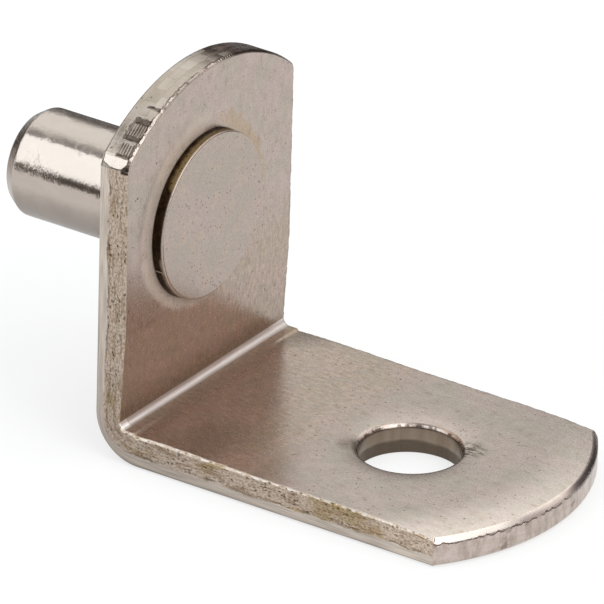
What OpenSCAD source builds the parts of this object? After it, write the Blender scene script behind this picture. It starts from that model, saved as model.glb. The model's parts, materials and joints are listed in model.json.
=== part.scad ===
// Shelf support pin: a strip of sheet steel bent square, with a headed pin through its upright leg.
// The upright leg lies against the cabinet wall, and the pin goes into a hole there. The shelf lies on the
// other leg, and a screw can go up through that leg's hole into it.
// Millimetres, +Z up. The origin is on the pin's axis where it leaves the wall side of the upright leg.
// The pin points to -X and the shelf leg to +X.

/* [Strip] */
// Thickness of the sheet
sheet_t = 1.5; // [1.2:0.1:2]
// Width of the strip
strip_w = 13; // [11:0.5:18]
// Radius of the soft edge that cutting leaves along both sides of the outer face
side_edge_r = 0.2; // [0.1:0.05:0.5]
// Radius of the strip's four corners, where its sides meet its curved ends
corner_r = 0.35; // [0.1:0.05:1]

/* [Bend] */
// Radius of the bend's inner face
bend_in_r = 0.4; // [0.2:0.1:1.2]
// Radius of the bend's outer face
bend_out_r = 2.25; // [1.6:0.05:3]

/* [Wall leg] */
// Height of the pin's axis above the underside of the shelf leg
pin_height = 10; // [8:0.5:16]
// Height of the wall leg's top above the pin's axis
wall_leg_rise = 7; // [6.5:0.5:14]
// How far the middle of the curved top stands above its corners
wall_crown = 2.5; // [1:0.1:4]
// How far the pin sits to one side of the strip's middle line
pin_aside = 0.6; // [0:0.1:1.5]
// Radius of the soft edge round the curved top, on the wall side
wall_top_edge_r = 0.2; // [0.1:0.05:0.5]

/* [Shelf leg] */
// Distance from the wall side to the tip of the shelf leg
shelf_leg_reach = 20.2; // [18:0.2:30]
// How far the middle of the curved tip stands out past its corners
tip_crown = 2.25; // [1:0.05:4]
// How far the upper edge of the tip is rolled down
tip_roll_drop = 0.25; // [0.1:0.05:0.5]
// How far back from the tip the roll starts
tip_roll_run = 0.7; // [0.5:0.1:1.5]
// Radius of the tip's lower edge
tip_lower_edge_r = 0.3; // [0.1:0.05:0.6]

/* [Screw hole] */
// Diameter of the screw hole
screw_hole_d = 4.6; // [3:0.1:6]
// Distance from the wall side to the middle of the screw hole
screw_hole_reach = 12.35; // [9:0.05:13]
// Radius of the rolled mouth of the screw hole, on the shelf side
screw_hole_mouth_r = 0.3; // [0.1:0.05:0.5]

/* [Pin] */
// Diameter of the pin
pin_d = 5; // [4:0.05:7]
// Distance that the pin stands out of the wall side
pin_reach = 7.6; // [5:0.1:14]
// Length of the chamfer on the pin's end
pin_chamfer_len = 0.6; // [0.2:0.1:1.5]
// Depth of the chamfer on the pin's end, taken off the radius
pin_chamfer_depth = 0.4; // [0.2:0.05:1]
// How far the neck, which is pressed into the wall leg, stands out past the pin all round
neck_swell = 0.25; // [0.2:0.05:0.4]
// Gap between the neck and its hole in the wall leg, on the radius
neck_fit = 0.01; // [0.01:0.01:0.1]
// Diameter of the pin's flat head
head_d = 7.75; // [7.5:0.05:10]
// Thickness of the pin's flat head
head_t = 0.55; // [0.3:0.05:1.2]
// Radius of the head's front edge
head_edge_r = 0.1; // [0.05:0.05:0.25]

/* [Hidden] */
$fn = 96;

// Heights of the shelf leg's two faces and of the bend's centre
underside_z = -pin_height;
shelf_z = underside_z + sheet_t;
bend_z = underside_z + bend_out_r;
// Radii of the curved ends, from the strip's width and how far each end bulges
wall_top_r = arc_radius(strip_w / 2, wall_crown);
tip_r = arc_radius(strip_w / 2, tip_crown);
// Radius of the rolled upper edge of the tip
tip_roll_r = arc_radius(tip_roll_run, tip_roll_drop);
// Radius of the pin's neck
neck_r = pin_d / 2 + neck_swell;
// Overshoot of a cut past the face that it opens
over = 1;

// Radius of an arc that bulges by rise over half its chord
function arc_radius(half_chord, rise) = (half_chord * half_chord + rise * rise) / (2 * rise);

// What rounding takes off a square corner at the origin whose material lies towards +x and +y:
// an arc of radius r that meets the edge along +x at run and the other edge at drop
module corner_waste(run, drop, r) {
    difference() {
        translate([-over, -over]) square([run + over, drop + over]);
        translate([run, r]) circle(r);
    }
}

// The section that is carried round the strip's outer face: the face is at x = 0, its two edges are soft
module outer_section() {
    difference() {
        translate([0, -strip_w / 2]) square([bend_out_r, strip_w]);
        for (side = [0, 1])
            mirror([0, side])
                translate([0, -strip_w / 2]) corner_waste(side_edge_r, side_edge_r, side_edge_r);
    }
}

// The upright block behind the wall leg, from the bend to past its top
module upright_block() {
    translate([0, 0, bend_z])
        linear_extrude(wall_leg_rise + over - bend_z) outer_section();
}

// The lying block of the shelf leg, from the bend to past its tip
module lying_block() {
    translate([bend_out_r, 0, underside_z])
        rotate([90, 0, 90])
            linear_extrude(shelf_leg_reach + over - bend_out_r)
                rotate(90) mirror([0, 1]) outer_section();
}

// The quarter turn that joins the two blocks
module bend_block() {
    translate([bend_out_r, 0, bend_z])
        rotate([90, 0, 0])
            rotate([0, 0, 180])
                rotate_extrude(angle = 90)
                    translate([bend_out_r, 0]) mirror([1, 0]) outer_section();
}

// The corner that the shelf fills, with the bend's inner radius along its edge
module inside_corner() {
    depth = shelf_leg_reach + 2 * over;
    rise = wall_leg_rise - shelf_z + 2 * over;
    rotate([90, 0, 0])
        linear_extrude(strip_w + 2 * over, center = true)
            translate([sheet_t, shelf_z])
                difference() {
                    square([depth, rise]);
                    corner_waste(bend_in_r, bend_in_r, bend_in_r);
                }
}

// What rounds the two corners of a leg that lies along +x, seen square on: straight sides, round corners,
// and between them a wedge that runs on past the curved end, where the leg's blank takes over
module corner_outline(reach, end_r) {
    centre_x = reach - end_r;
    corner_y = strip_w / 2 - corner_r;
    corner_x = centre_x + sqrt(pow(end_r - corner_r, 2) - pow(corner_y, 2));
    // The wedge's sides are rays from the end's centre through the corners' centres
    ray = 2 * end_r / (corner_x - centre_x);
    translate([0, -strip_w / 2]) square([corner_x, strip_w]);
    for (side = [-1, 1])
        translate([corner_x, side * corner_y]) circle(corner_r);
    translate([centre_x, 0])
        polygon([[0, 0], [2 * end_r, -ray * corner_y], [2 * end_r, ray * corner_y]]);
}

// The blank with the wall leg's curved top: a disc with a soft edge on the wall side, and a straight
// stretch from the disc's centre down to the bend
module wall_top_blank() {
    centre_z = wall_leg_rise - wall_top_r;
    translate([0, 0, centre_z])
        rotate([0, 90, 0])
            rotate_extrude()
                difference() {
                    square([wall_top_r, sheet_t]);
                    translate([wall_top_r, 0])
                        mirror([1, 0]) corner_waste(wall_top_edge_r, wall_top_edge_r, wall_top_edge_r);
                }
    translate([0, -strip_w / 2 - over, bend_z - over])
        cube([sheet_t, strip_w + 2 * over, centre_z - bend_z + over]);
}

// The blank with the shelf leg's curved tip: a disc with a rolled upper edge and a soft lower one, and a
// straight stretch from the bend out to the disc's centre
module tip_blank() {
    centre_x = shelf_leg_reach - tip_r;
    translate([centre_x, 0, underside_z])
        rotate_extrude()
            difference() {
                square([tip_r, sheet_t]);
                translate([tip_r, sheet_t])
                    rotate(180) corner_waste(tip_roll_run, tip_roll_drop, tip_roll_r);
                translate([tip_r, 0])
                    mirror([1, 0]) corner_waste(tip_lower_edge_r, tip_lower_edge_r, tip_lower_edge_r);
            }
    translate([bend_out_r - over, -strip_w / 2 - over, underside_z])
        cube([centre_x - bend_out_r + over, strip_w + 2 * over, sheet_t]);
}

// The hole that the pin's neck is pressed into
module pin_hole() {
    translate([-over, 0, 0])
        rotate([0, 90, 0]) cylinder(h = sheet_t + 2 * over, r = neck_r + neck_fit);
}

// The screw hole, with its rolled mouth on the shelf side
module screw_hole() {
    translate([screw_hole_reach, 0, underside_z - over])
        cylinder(h = sheet_t + 2 * over, d = screw_hole_d);
    translate([screw_hole_reach, 0, shelf_z])
        rotate_extrude()
            translate([screw_hole_d / 2, 0])
                mirror([0, 1]) corner_waste(screw_hole_mouth_r, screw_hole_mouth_r, screw_hole_mouth_r);
}

// The bent strip, with its middle line at y = 0
module strip() {
    difference() {
        union() {
            intersection() {
                upright_block();
                wall_top_blank();
                translate([-over, 0, underside_z])
                    rotate([0, 90, 0]) rotate(180)
                        linear_extrude(sheet_t + 2 * over)
                            corner_outline(pin_height + wall_leg_rise, wall_top_r);
            }
            intersection() {
                lying_block();
                tip_blank();
                translate([0, 0, underside_z - over])
                    linear_extrude(sheet_t + 2 * over) corner_outline(shelf_leg_reach, tip_r);
            }
            bend_block();
        }
        inside_corner();
        screw_hole();
    }
}

module bracket() {
    color([0.73, 0.69, 0.65])
        difference() {
            translate([0, pin_aside, 0]) strip();
            pin_hole();
        }
}

// Half the pin's outline, with its axis along y and its end towards -y
module pin_outline() {
    pin_r = pin_d / 2;
    polygon([
        [0, -pin_reach],
        [pin_r - pin_chamfer_depth, -pin_reach],
        [pin_r, pin_chamfer_len - pin_reach],
        [pin_r, 0],
        [neck_r, 0],
        [neck_r, sheet_t],
        [0, sheet_t]
    ]);
    difference() {
        translate([0, sheet_t]) square([head_d / 2, head_t]);
        translate([head_d / 2, sheet_t + head_t])
            rotate(180) corner_waste(head_edge_r, head_edge_r, head_edge_r);
    }
}

module pin() {
    color([0.78, 0.75, 0.71])
        rotate([0, 90, 0]) rotate_extrude() pin_outline();
}

bracket();
pin();
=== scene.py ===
# %% [markdown]
# # A shelf support pin
#
# The object is a small cabinet fitting: a strip of steel sheet, punched out, bent square and nickel
# plated, with a short round pin pressed through its upright leg. The pin goes into a hole in the cabinet's
# side, and the shelf lies on the other leg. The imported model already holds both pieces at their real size.
# This script dresses them: it works out finer surfaces for the strip and the pin, with the marks that
# punching and bending leave, gives them a worn nickel finish, and sets up a small studio.
#
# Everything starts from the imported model, so that nothing has to be fitted by eye. Its boxes and mounts say
# where the legs, the pin and the screw hole are. Lengths in this script are millimetres until a mesh is
# made, because the object is 28 mm long and its marks are tenths of a millimetre.

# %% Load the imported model
import json
from math import atan2, cos, pi, radians, sin, sqrt

import bmesh
import bpy
import numpy as np
from mathutils import Matrix, Vector


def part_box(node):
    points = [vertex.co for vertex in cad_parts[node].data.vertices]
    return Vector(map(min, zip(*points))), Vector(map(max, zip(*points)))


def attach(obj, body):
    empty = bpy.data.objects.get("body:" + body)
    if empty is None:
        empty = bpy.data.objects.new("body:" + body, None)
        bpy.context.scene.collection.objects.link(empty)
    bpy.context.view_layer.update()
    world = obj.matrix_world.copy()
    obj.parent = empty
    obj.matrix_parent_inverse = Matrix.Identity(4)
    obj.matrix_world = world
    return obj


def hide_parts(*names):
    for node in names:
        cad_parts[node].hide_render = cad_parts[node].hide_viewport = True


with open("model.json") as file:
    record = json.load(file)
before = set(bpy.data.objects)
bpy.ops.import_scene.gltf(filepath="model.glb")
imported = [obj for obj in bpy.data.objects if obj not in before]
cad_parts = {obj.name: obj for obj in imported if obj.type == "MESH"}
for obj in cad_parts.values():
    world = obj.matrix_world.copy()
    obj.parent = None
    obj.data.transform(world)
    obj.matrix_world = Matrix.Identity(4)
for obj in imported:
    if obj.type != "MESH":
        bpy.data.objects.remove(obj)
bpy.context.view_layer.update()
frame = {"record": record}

MM = 0.001
strip_low, strip_high = (np.array(corner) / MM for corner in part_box("bracket"))
pin_low, pin_high = (np.array(corner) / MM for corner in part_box("pin"))
mounts = {mount["name"]: mount for mount in frame["record"]["mounts"]}
print("strip from", strip_low.round(2), "to", strip_high.round(2), "mm")
print("pin from", pin_low.round(2), "to", pin_high.round(2), "mm")

# %% [markdown]
# ## The camera
#
# A long lens from half a metre away keeps the two legs almost parallel in the picture, as in a catalogue
# shot of something this small. The camera looks down past the screw hole, from the side where the shelf
# would be. A constraint could aim it, but five plain numbers say more: the aim, where the camera stands as
# azimuth, elevation and distance, and a small roll that tilts the picture.

# %% Camera
CAMERA_AIM = np.array([6.80, 0.11, -2.87])
CAMERA_AZIMUTH = 33.44
CAMERA_ELEVATION = 26.61
CAMERA_ROLL = 1.48
CAMERA_DISTANCE = 532.9
LENS = 723.9


def camera_matrix(aim, azimuth, elevation, roll, distance):
    """The camera's place: it stands at a distance from the aim, turned by azimuth about +Z from -Y and raised
    by elevation, and its right and up axes are turned by roll about the line of sight."""
    a, e, r = radians(azimuth), radians(elevation), radians(roll)
    back = Vector((sin(a) * cos(e), -cos(a) * cos(e), sin(e)))
    level_right = Vector((cos(a), sin(a), 0))
    level_up = back.cross(level_right)
    right = level_right * cos(r) + level_up * sin(r)
    up = level_up * cos(r) - level_right * sin(r)
    turn = Matrix((right, up, back)).transposed().to_4x4()
    return Matrix.Translation(Vector(aim * MM) + back * distance * MM) @ turn


scene = bpy.context.scene
camera = bpy.data.objects.new("camera", bpy.data.cameras.new("camera"))
scene.collection.objects.link(camera)
camera.data.lens = LENS
camera.data.clip_start = 0.05
camera.data.clip_end = 5
camera.matrix_world = camera_matrix(
    CAMERA_AIM, CAMERA_AZIMUTH, CAMERA_ELEVATION, CAMERA_ROLL, CAMERA_DISTANCE)
scene.camera = camera
scene.view_settings.view_transform = "Standard"
print("camera at", [round(v, 3) for v in camera.location], "m, colours", scene.view_settings.view_transform)

# %% [markdown]
# ## The studio
#
# Polished metal shows its surroundings, so the studio is the first half of its finish. A small white table
# top fills everything below the horizon. Past its edge the room is dim, and that thin dim band gives the
# round pin its dark outlines. Six soft panels hang round the object and above it. An even white sky would
# light it as well, but the metal would then look like grey plastic, because nothing in it has an edge.
#
# Materials and the world are trees of nodes. They could be wired by hand in the shader editor. Here a few
# short functions add the nodes, so that a pattern reads like a sum.

# %% Nodes and sums
def add_node(tree, kind, inputs=None, **settings):
    """Adds a shader node, sets its own options, and fills its inputs with values or with other nodes'
    outputs."""
    made = tree.nodes.new(kind)
    for option, value in settings.items():
        setattr(made, option, value)
    for name, value in (inputs or {}).items():
        if isinstance(value, bpy.types.NodeSocket):
            tree.links.new(value, made.inputs[name])
        else:
            made.inputs[name].default_value = value
    return made


def maths(tree, operation, *values):
    """One Math node, with its values in order. Its result is the output."""
    numbered = dict(enumerate(values))
    return add_node(tree, "ShaderNodeMath", numbered, operation=operation).outputs[0]


def plus(tree, first, second):
    """The sum of two values."""
    return maths(tree, "ADD", first, second)


def minus(tree, first, second):
    """The first value less the second."""
    return maths(tree, "SUBTRACT", first, second)


def larger(tree, first, second):
    """The larger of two values."""
    return maths(tree, "MAXIMUM", first, second)


def times(tree, first, *rest):
    """The product of values."""
    for value in rest:
        first = maths(tree, "MULTIPLY", first, value)
    return first


print("sums and products of values are Math nodes, one for each")


# %% Distances, steps and blends
def distance(tree, place, point):
    """How far a place is from a point."""
    inputs = {0: place, 1: tuple(point)}
    return add_node(tree, "ShaderNodeVectorMath", inputs, operation="DISTANCE").outputs["Value"]


def ease(tree, value, low, high, to_low=0.0, to_high=1.0):
    """Turns value smoothly from to_low, where it is low, into to_high, where it is high."""
    inputs = {"Value": value, "From Min": low, "From Max": high, "To Min": to_low, "To Max": to_high}
    return add_node(tree, "ShaderNodeMapRange", inputs, interpolation_type="SMOOTHSTEP").outputs[0]


def fade(tree, value, low, high):
    """1 where value is low, falling smoothly to 0 where it is high."""
    return ease(tree, value, low, high, 1.0, 0.0)


def blend(tree, share, first, second, kind="MIX"):
    """Blends the second colour over the first by a share. A Mix node has several sets of sockets: inputs 6
    and 7 and output 2 are the ones for colours."""
    inputs = {0: share, 6: first, 7: second}
    return add_node(tree, "ShaderNodeMix", inputs, data_type="RGBA", blend_type=kind).outputs[2]


print("steps are eased, so that no pattern has a hard border")

# %% [markdown]
# The table top is white paper that does two things at once. For the camera it is a white ground that keeps
# the object's shadow: a plane that only glows would be white too, but it would lose the shadow, so the paper
# is partly lit and partly glowing. For mirror rays, which are what the metal sees, it has a painted shadow,
# grey under the pin, and a strip of black card lies behind the pin. A studio puts such a card beside shiny
# things, because it gives them dark outlines on a white ground.

# %% Table top's shape
TABLE_RADIUS = 170
TABLE_SIDES = 96
TABLE_Z = strip_low[2] - 0.02
table_centre = np.array([CAMERA_AIM[0], CAMERA_AIM[1], TABLE_Z])


def disc_mesh(name, centre, radius, sides):
    """A flat disc: points at equal turns round a circle, joined by one face that looks up."""
    turn = np.linspace(0, 2 * pi, sides, endpoint=False)
    points = np.stack([radius * np.cos(turn), radius * np.sin(turn), np.zeros(sides)], 1) + centre
    mesh = bpy.data.meshes.new(name)
    mesh.from_pydata((points * MM).tolist(), [], [list(range(sides))])
    return mesh


print("table top", 2 * TABLE_RADIUS, "mm across at z", TABLE_Z.round(2), "mm")


# %% Black card
CARD_RUNS = (-0.49, 0.87, 0)
CARD_ASIDE = (0.87, 0.49, 0)
CARD_STARTS = (0.015, 0.022)
CARD_SIDES = (0.012, 0.020)


def along_line(tree, place, direction):
    """How far a place lies along a direction from the origin."""
    inputs = {0: place, 1: tuple(direction)}
    return add_node(tree, "ShaderNodeVectorMath", inputs, operation="DOT_PRODUCT").outputs["Value"]


def black_card(tree, place):
    """1 on the card: a strip that starts behind the pin and runs along CARD_RUNS, with soft edges."""
    aside = maths(tree, "ABSOLUTE", along_line(tree, place, CARD_ASIDE))
    return times(tree, ease(tree, along_line(tree, place, CARD_RUNS), *CARD_STARTS),
                 fade(tree, aside, *CARD_SIDES))


print("black card", round(2 * CARD_SIDES[0] / MM), "mm wide, from", round(CARD_STARTS[0] / MM), "mm out")


# %% Table top's finish
WHITE = (1, 1, 1, 1)
PAPER = (0.7, 0.7, 0.7, 1)
GLOW = 1.05
EDGE_STARTS = (0.02, 0.06)
EDGE_SHARES = (0.65, 1.0)
# A painted shadow under the pin, seen by mirror rays only: the paper glows less near the pin.
UNDER_PIN = (0.004, 0.022)
UNDER_PIN_SHADOW_GLOW = 0.50
CARD_GLOW = 0.08


def table_material():
    """White paper. The camera and mirror rays see it partly lit by the lamps and partly glowing, so that its
    shadow stays pale, and towards its edge the glow takes over. Mirror rays find it greyer under the pin, a
    painted shadow that shades the pin's lower half, and black on the card."""
    material = bpy.data.materials.new("white_paper")
    material.use_nodes = True
    tree = material.node_tree
    tree.nodes.clear()
    seen = add_node(tree, "ShaderNodeLightPath").outputs
    place = add_node(tree, "ShaderNodeTexCoord").outputs["Object"]
    reach = distance(tree, place, table_centre * MM)
    under_pin = distance(tree, place, np.array([pin_low[0], 0, TABLE_Z]) * MM)
    camera_ray = seen["Is Camera Ray"]
    mirror_ray = larger(tree, seen["Is Glossy Ray"], seen["Is Transmission Ray"])
    # Painted shadow: mirror rays see the paper dimmer under the pin.
    mirror_glow = ease(tree, under_pin, *UNDER_PIN, UNDER_PIN_SHADOW_GLOW, GLOW)
    mirror_glow = ease(tree, black_card(tree, place), 0, 1, mirror_glow, CARD_GLOW)
    strength = ease(tree, camera_ray, 0, 1, mirror_glow, GLOW)
    lit = add_node(tree, "ShaderNodeBsdfDiffuse", {"Color": PAPER}).outputs[0]
    glow = add_node(tree, "ShaderNodeEmission", {"Color": WHITE, "Strength": strength}).outputs[0]
    share = times(tree, larger(tree, camera_ray, mirror_ray), ease(tree, reach, *EDGE_STARTS, *EDGE_SHARES))
    mixed = add_node(tree, "ShaderNodeMixShader", {0: share, 1: lit, 2: glow}).outputs[0]
    add_node(tree, "ShaderNodeOutputMaterial", {"Surface": mixed})
    return material


table_top = bpy.data.objects.new("table_top", disc_mesh("table_top", table_centre, TABLE_RADIUS, TABLE_SIDES))
scene.collection.objects.link(table_top)
table_top.data.materials.append(table_material())
print("where white paper glows", GLOW, "the card glows", CARD_GLOW)

# %% [markdown]
# A panel is described by the direction that it hangs in, its width and height in degrees as the object sees
# it, and how bright it is, where 1 is white paper. Each lamp's power follows from those, because an area
# lamp's brightness is its power over pi times its area, and the room behind it shows through and adds its
# own. The panels' long sides lie along the pin, which keeps the edges of their reflections straight on it.
# Glowing planes would look the same in the metal, but lamps light the object with less grain.

# %% Soft panels
PANEL_DISTANCE = 600
ROOM_BRIGHTNESS = 0.45


def panel(name, towards, width_deg, height_deg, brightness, tint=(1, 1, 1)):
    """Hangs a rectangular lamp in the direction towards, facing the object, with its width along the pin as
    nearly as it can be. A side is twice the distance times the tangent of half its angle."""
    back = Vector(towards).normalized()
    up = back.cross(Vector((1, 0, 0))).normalized()
    width, height = (2 * PANEL_DISTANCE * MM * np.tan(radians(side) / 2) for side in (width_deg, height_deg))
    lamp = bpy.data.lights.new(name, "AREA")
    lamp.shape = "RECTANGLE"
    lamp.size, lamp.size_y = width, height
    lamp.energy = pi * width * height * (brightness - ROOM_BRIGHTNESS)
    lamp.color = tint
    hung = bpy.data.objects.new(name, lamp)
    turn = Matrix((up.cross(back), up, back)).transposed().to_4x4()
    hung.matrix_world = Matrix.Translation(Vector(CAMERA_AIM * MM) + back * PANEL_DISTANCE * MM) @ turn
    scene.collection.objects.link(hung)
    print(name, "panel", round(width, 2), "x", round(height, 2), "m,", round(lamp.energy, 2), "W")
    return hung


panel("front_left", (-0.49, -0.630, 0.600), 64, 51.4, 2.1, (0.93, 1.0, 1.03))
panel("over_back", (-0.48, 0.442, 0.750), 60, 51.9, 1.34, (0.98, 1.02, 0.99))
panel("back_high", (0.22, 0.74, 0.64), 34, 24, 1.6)
panel("overhead_right", (0.42, 0.10, 0.90), 40, 44, 2.3)
panel("front_right", (0.75, -0.32, 0.58), 54, 46, 2.6)
panel("back_right", (0.68, 0.66, 0.33), 44, 28, 0.85, (1.0, 0.74, 0.70))

# %% [markdown]
# The world is what is left: a dim room with a darker band along the horizon. The small object sees so little
# of it between the panels that brightness by height alone will do, and no sky picture is needed. The
# background has to be white, so camera rays see white instead.

# %% Room
HORIZON_BRIGHTNESS = 0.14
HORIZON_TINT = (1, 0.87, 0.78, 1)
HORIZON_TOP = (0.14, 0.36)
HORIZON_BOTTOM = (-0.06, -0.035)


def room():
    """The world's brightness depends on height alone: white below the horizon, dark and warm along it, dim
    above."""
    world = bpy.data.worlds.new("room")
    world.use_nodes = True
    tree = world.node_tree
    tree.nodes.clear()
    direction = add_node(tree, "ShaderNodeTexCoord").outputs["Generated"]
    height = add_node(tree, "ShaderNodeSeparateXYZ", {"Vector": direction}).outputs["Z"]
    above = ease(tree, height, *HORIZON_TOP, HORIZON_BRIGHTNESS, ROOM_BRIGHTNESS)
    below = fade(tree, height, *HORIZON_BOTTOM)
    for_camera = add_node(tree, "ShaderNodeLightPath").outputs["Is Camera Ray"]
    strength = larger(tree, larger(tree, above, below), for_camera)
    bright = ease(tree, strength, HORIZON_BRIGHTNESS, ROOM_BRIGHTNESS)
    tint = blend(tree, bright, HORIZON_TINT, WHITE)
    glow = add_node(tree, "ShaderNodeBackground", {"Color": tint, "Strength": strength}).outputs[0]
    add_node(tree, "ShaderNodeOutputWorld", {"Surface": glow})
    return world


scene.world = room()
print("room", ROOM_BRIGHTNESS, "above,", HORIZON_BRIGHTNESS, "along the horizon")

# %% [markdown]
# ## The flat strip
#
# A bent strip could be put together from two plates and a quarter tube, but then each mark near the bend has
# to be bent too. It is easier to draw before it is bent. Unrolled, it is a flat plate with two holes: s runs
# down the wall leg, round the bend and out along the shelf leg, y runs across it, and w runs through its
# thickness, from 0 on the inner face to the sheet's thickness on the outer one. s is 0 level with the pin,
# so on the wall leg it is just how far down a point lies. A last function then folds the plate, as the
# press does. The press also squeezed the inner corner a little inwards, into the sheet's own thickness, so
# the fold lies a hair behind the two faces' planes.

# %% Sizes of the strip
SHEET_T = mounts["shelf_face"]["pos_m"][2] / MM - strip_low[2]
MIDDLE_Y = (strip_low[1] + strip_high[1]) / 2
HALF_W = (strip_high[1] - strip_low[1]) / 2
BEND_IN_R = 0.33
BEND_OUT_R = 2.25
CROWN_RISE = 2.5
TIP_RISE = 2.25
CORNER_R = 0.35
BEND_START = -(strip_low[2] + BEND_OUT_R)
SQUEEZE_X, SQUEEZE_Z = 0.20, 0.12
INNER_LEAD = BEND_OUT_R - SHEET_T - BEND_IN_R
INNER_LENGTH = 2 * INNER_LEAD + pi / 2 * BEND_IN_R
BEND_SPAN = (INNER_LENGTH + pi / 2 * BEND_OUT_R) / 2
BEND_END = BEND_START + BEND_SPAN
SQUEEZE_FROM, SQUEEZE_TO = BEND_START - 3.8, BEND_END + 6
CROWN_S = -strip_high[2]
TIP_S = BEND_END + strip_high[0] - BEND_OUT_R
PIN_CENTRE = np.array([0.0, 0.0])
hole_x, hole_y, hole_z = np.array(mounts["screw_hole"]["pos_m"]) / MM
HOLE_CENTRE = np.array([BEND_END + hole_x - BEND_OUT_R, hole_y])
HOLE_R = mounts["screw_hole"]["dims"]["r_mm"]
NECK_R = 2.75
NECK_HOLE_R = NECK_R + 0.01
print("unrolled strip:", round(TIP_S - CROWN_S, 2), "x", round(2 * HALF_W, 2), "x", round(SHEET_T, 2), "mm")


# %% Fold
def fold(flat):
    """Folds points (s, y, w). On the wall leg, s runs down and w towards the wall. On the shelf leg, s runs
    outwards and w down. In the bend, a point lies on the line from the inner path to the outer one, both at
    the same fraction f of their lengths: the outer path is a quarter circle, and the inner path is a short
    straight lead, a small quarter circle and another lead. The press squeezes the inner corner a little
    inwards, by an amount that fades along both legs."""
    s, y, w = flat[..., 0], flat[..., 1], flat[..., 2]
    f = np.clip((s - BEND_START) / BEND_SPAN, 0, 1)
    run = f * INNER_LENGTH
    turn = np.clip((run - INNER_LEAD) / BEND_IN_R, 0, pi / 2)
    first_lead = np.minimum(run, INNER_LEAD)
    last_lead = np.maximum(run - INNER_LENGTH + INNER_LEAD, 0)
    inner_x = SHEET_T + BEND_IN_R * (1 - np.cos(turn)) + last_lead
    inner_z = -BEND_START - first_lead - BEND_IN_R * np.sin(turn)
    outer_x = BEND_OUT_R * (1 - np.cos(f * pi / 2))
    outer_z = -BEND_START - BEND_OUT_R * np.sin(f * pi / 2)
    squeezed = np.clip(np.minimum((s - SQUEEZE_FROM) / (BEND_START - SQUEEZE_FROM),
                                  (SQUEEZE_TO - s) / (SQUEEZE_TO - BEND_END)), 0, 1)
    inner_x = inner_x - SQUEEZE_X * squeezed
    inner_z = inner_z + SQUEEZE_Z * squeezed
    share = w / SHEET_T
    x = inner_x + (outer_x - inner_x) * share + np.maximum(s - BEND_END, 0)
    z = inner_z + (outer_z - inner_z) * share - np.minimum(s - BEND_START, 0)
    return np.stack([x, y, z], -1)


print("the bend takes s from", round(BEND_START, 2), "to", round(BEND_END, 2), "mm")

# %% [markdown]
# The plate's outline could be a list of typed points, but then none of its sizes could change. Instead it
# is made of arcs: a crown, a curved tip, and a small round at each corner. The near crown corner differs,
# because a second blow of the tool cut it off flat: it is a short straight facet between two tiny rounds. An
# arc is its centre, its radius and the turn of its outward normal. The arcs are laid one after another into
# a table, with the two straight sides and the facet between them, and any point of the outline is then found
# by its step or its length along it.

# %% Arcs and corners
ARC_SAMPLES = 60
LEAST_CORNER_R = 0.1
FACET_CUT = 0.14
FACET_LEAN = 0.44
FACET_EDGE_R = 0.05
LEAST_FACET_R = 0.01


def arc_radius(half_chord, rise):
    """The radius of an arc that bulges by rise over a chord: half chord squared plus rise squared, over
    twice the rise."""
    return (half_chord ** 2 + rise ** 2) / (2 * rise)


CROWN_R = arc_radius(HALF_W, CROWN_RISE)
TIP_R = arc_radius(HALF_W, TIP_RISE)
CROWN_CENTRE = np.array([CROWN_S + CROWN_R, MIDDLE_Y])
TIP_CENTRE = np.array([TIP_S - TIP_R, MIDDLE_Y])


def corner_place(end_r, corner_r, aside):
    """Where a corner's round touches a curved end's arc from inside: how far its centre lies along the leg
    from the arc's centre, and the turn of the normal where they touch."""
    ahead = sqrt((end_r - corner_r) ** 2 - aside ** 2)
    return ahead, atan2(aside, ahead)


def facet_place(inset):
    """The near crown corner's facet: the turn of its normal, between the crown's and the side's, the centres
    of the rounds at its two ends, and the turn where the second one meets the crown. Each centre lies one
    radius inside both of the lines that it joins."""
    sharp = CROWN_CENTRE - [sqrt(CROWN_R ** 2 - HALF_W ** 2), HALF_W]
    crown_turn = pi + atan2(HALF_W, CROWN_CENTRE[0] - sharp[0])
    facet_turn = crown_turn + (1.5 * pi - crown_turn) * FACET_LEAN
    normal = np.array([cos(facet_turn), sin(facet_turn)])
    radius = max(FACET_EDGE_R - inset, LEAST_FACET_R)
    level = sharp @ normal - FACET_CUT - inset - radius
    first_y = MIDDLE_Y - HALF_W + inset + radius
    first = np.array([(level - first_y * normal[1]) / normal[0], first_y])
    ahead = level - CROWN_CENTRE @ normal
    aside = sqrt((CROWN_R - inset - radius) ** 2 - ahead ** 2)
    second = CROWN_CENTRE + normal * ahead + np.array([normal[1], -normal[0]]) * aside
    crown_end = atan2(*(second - CROWN_CENTRE)[::-1]) % (2 * pi)
    return facet_turn, radius, first, second, crown_end


print("crown radius", round(CROWN_R, 2), "mm, tip radius", round(TIP_R, 2), "mm")


# %% Outline table
SIDE_STEP, NEAR_TIP_STEP, FAR_TIP_STEP, FAR_CROWN_STEP = 3, 4.5, 8.5, 10.5


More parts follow.
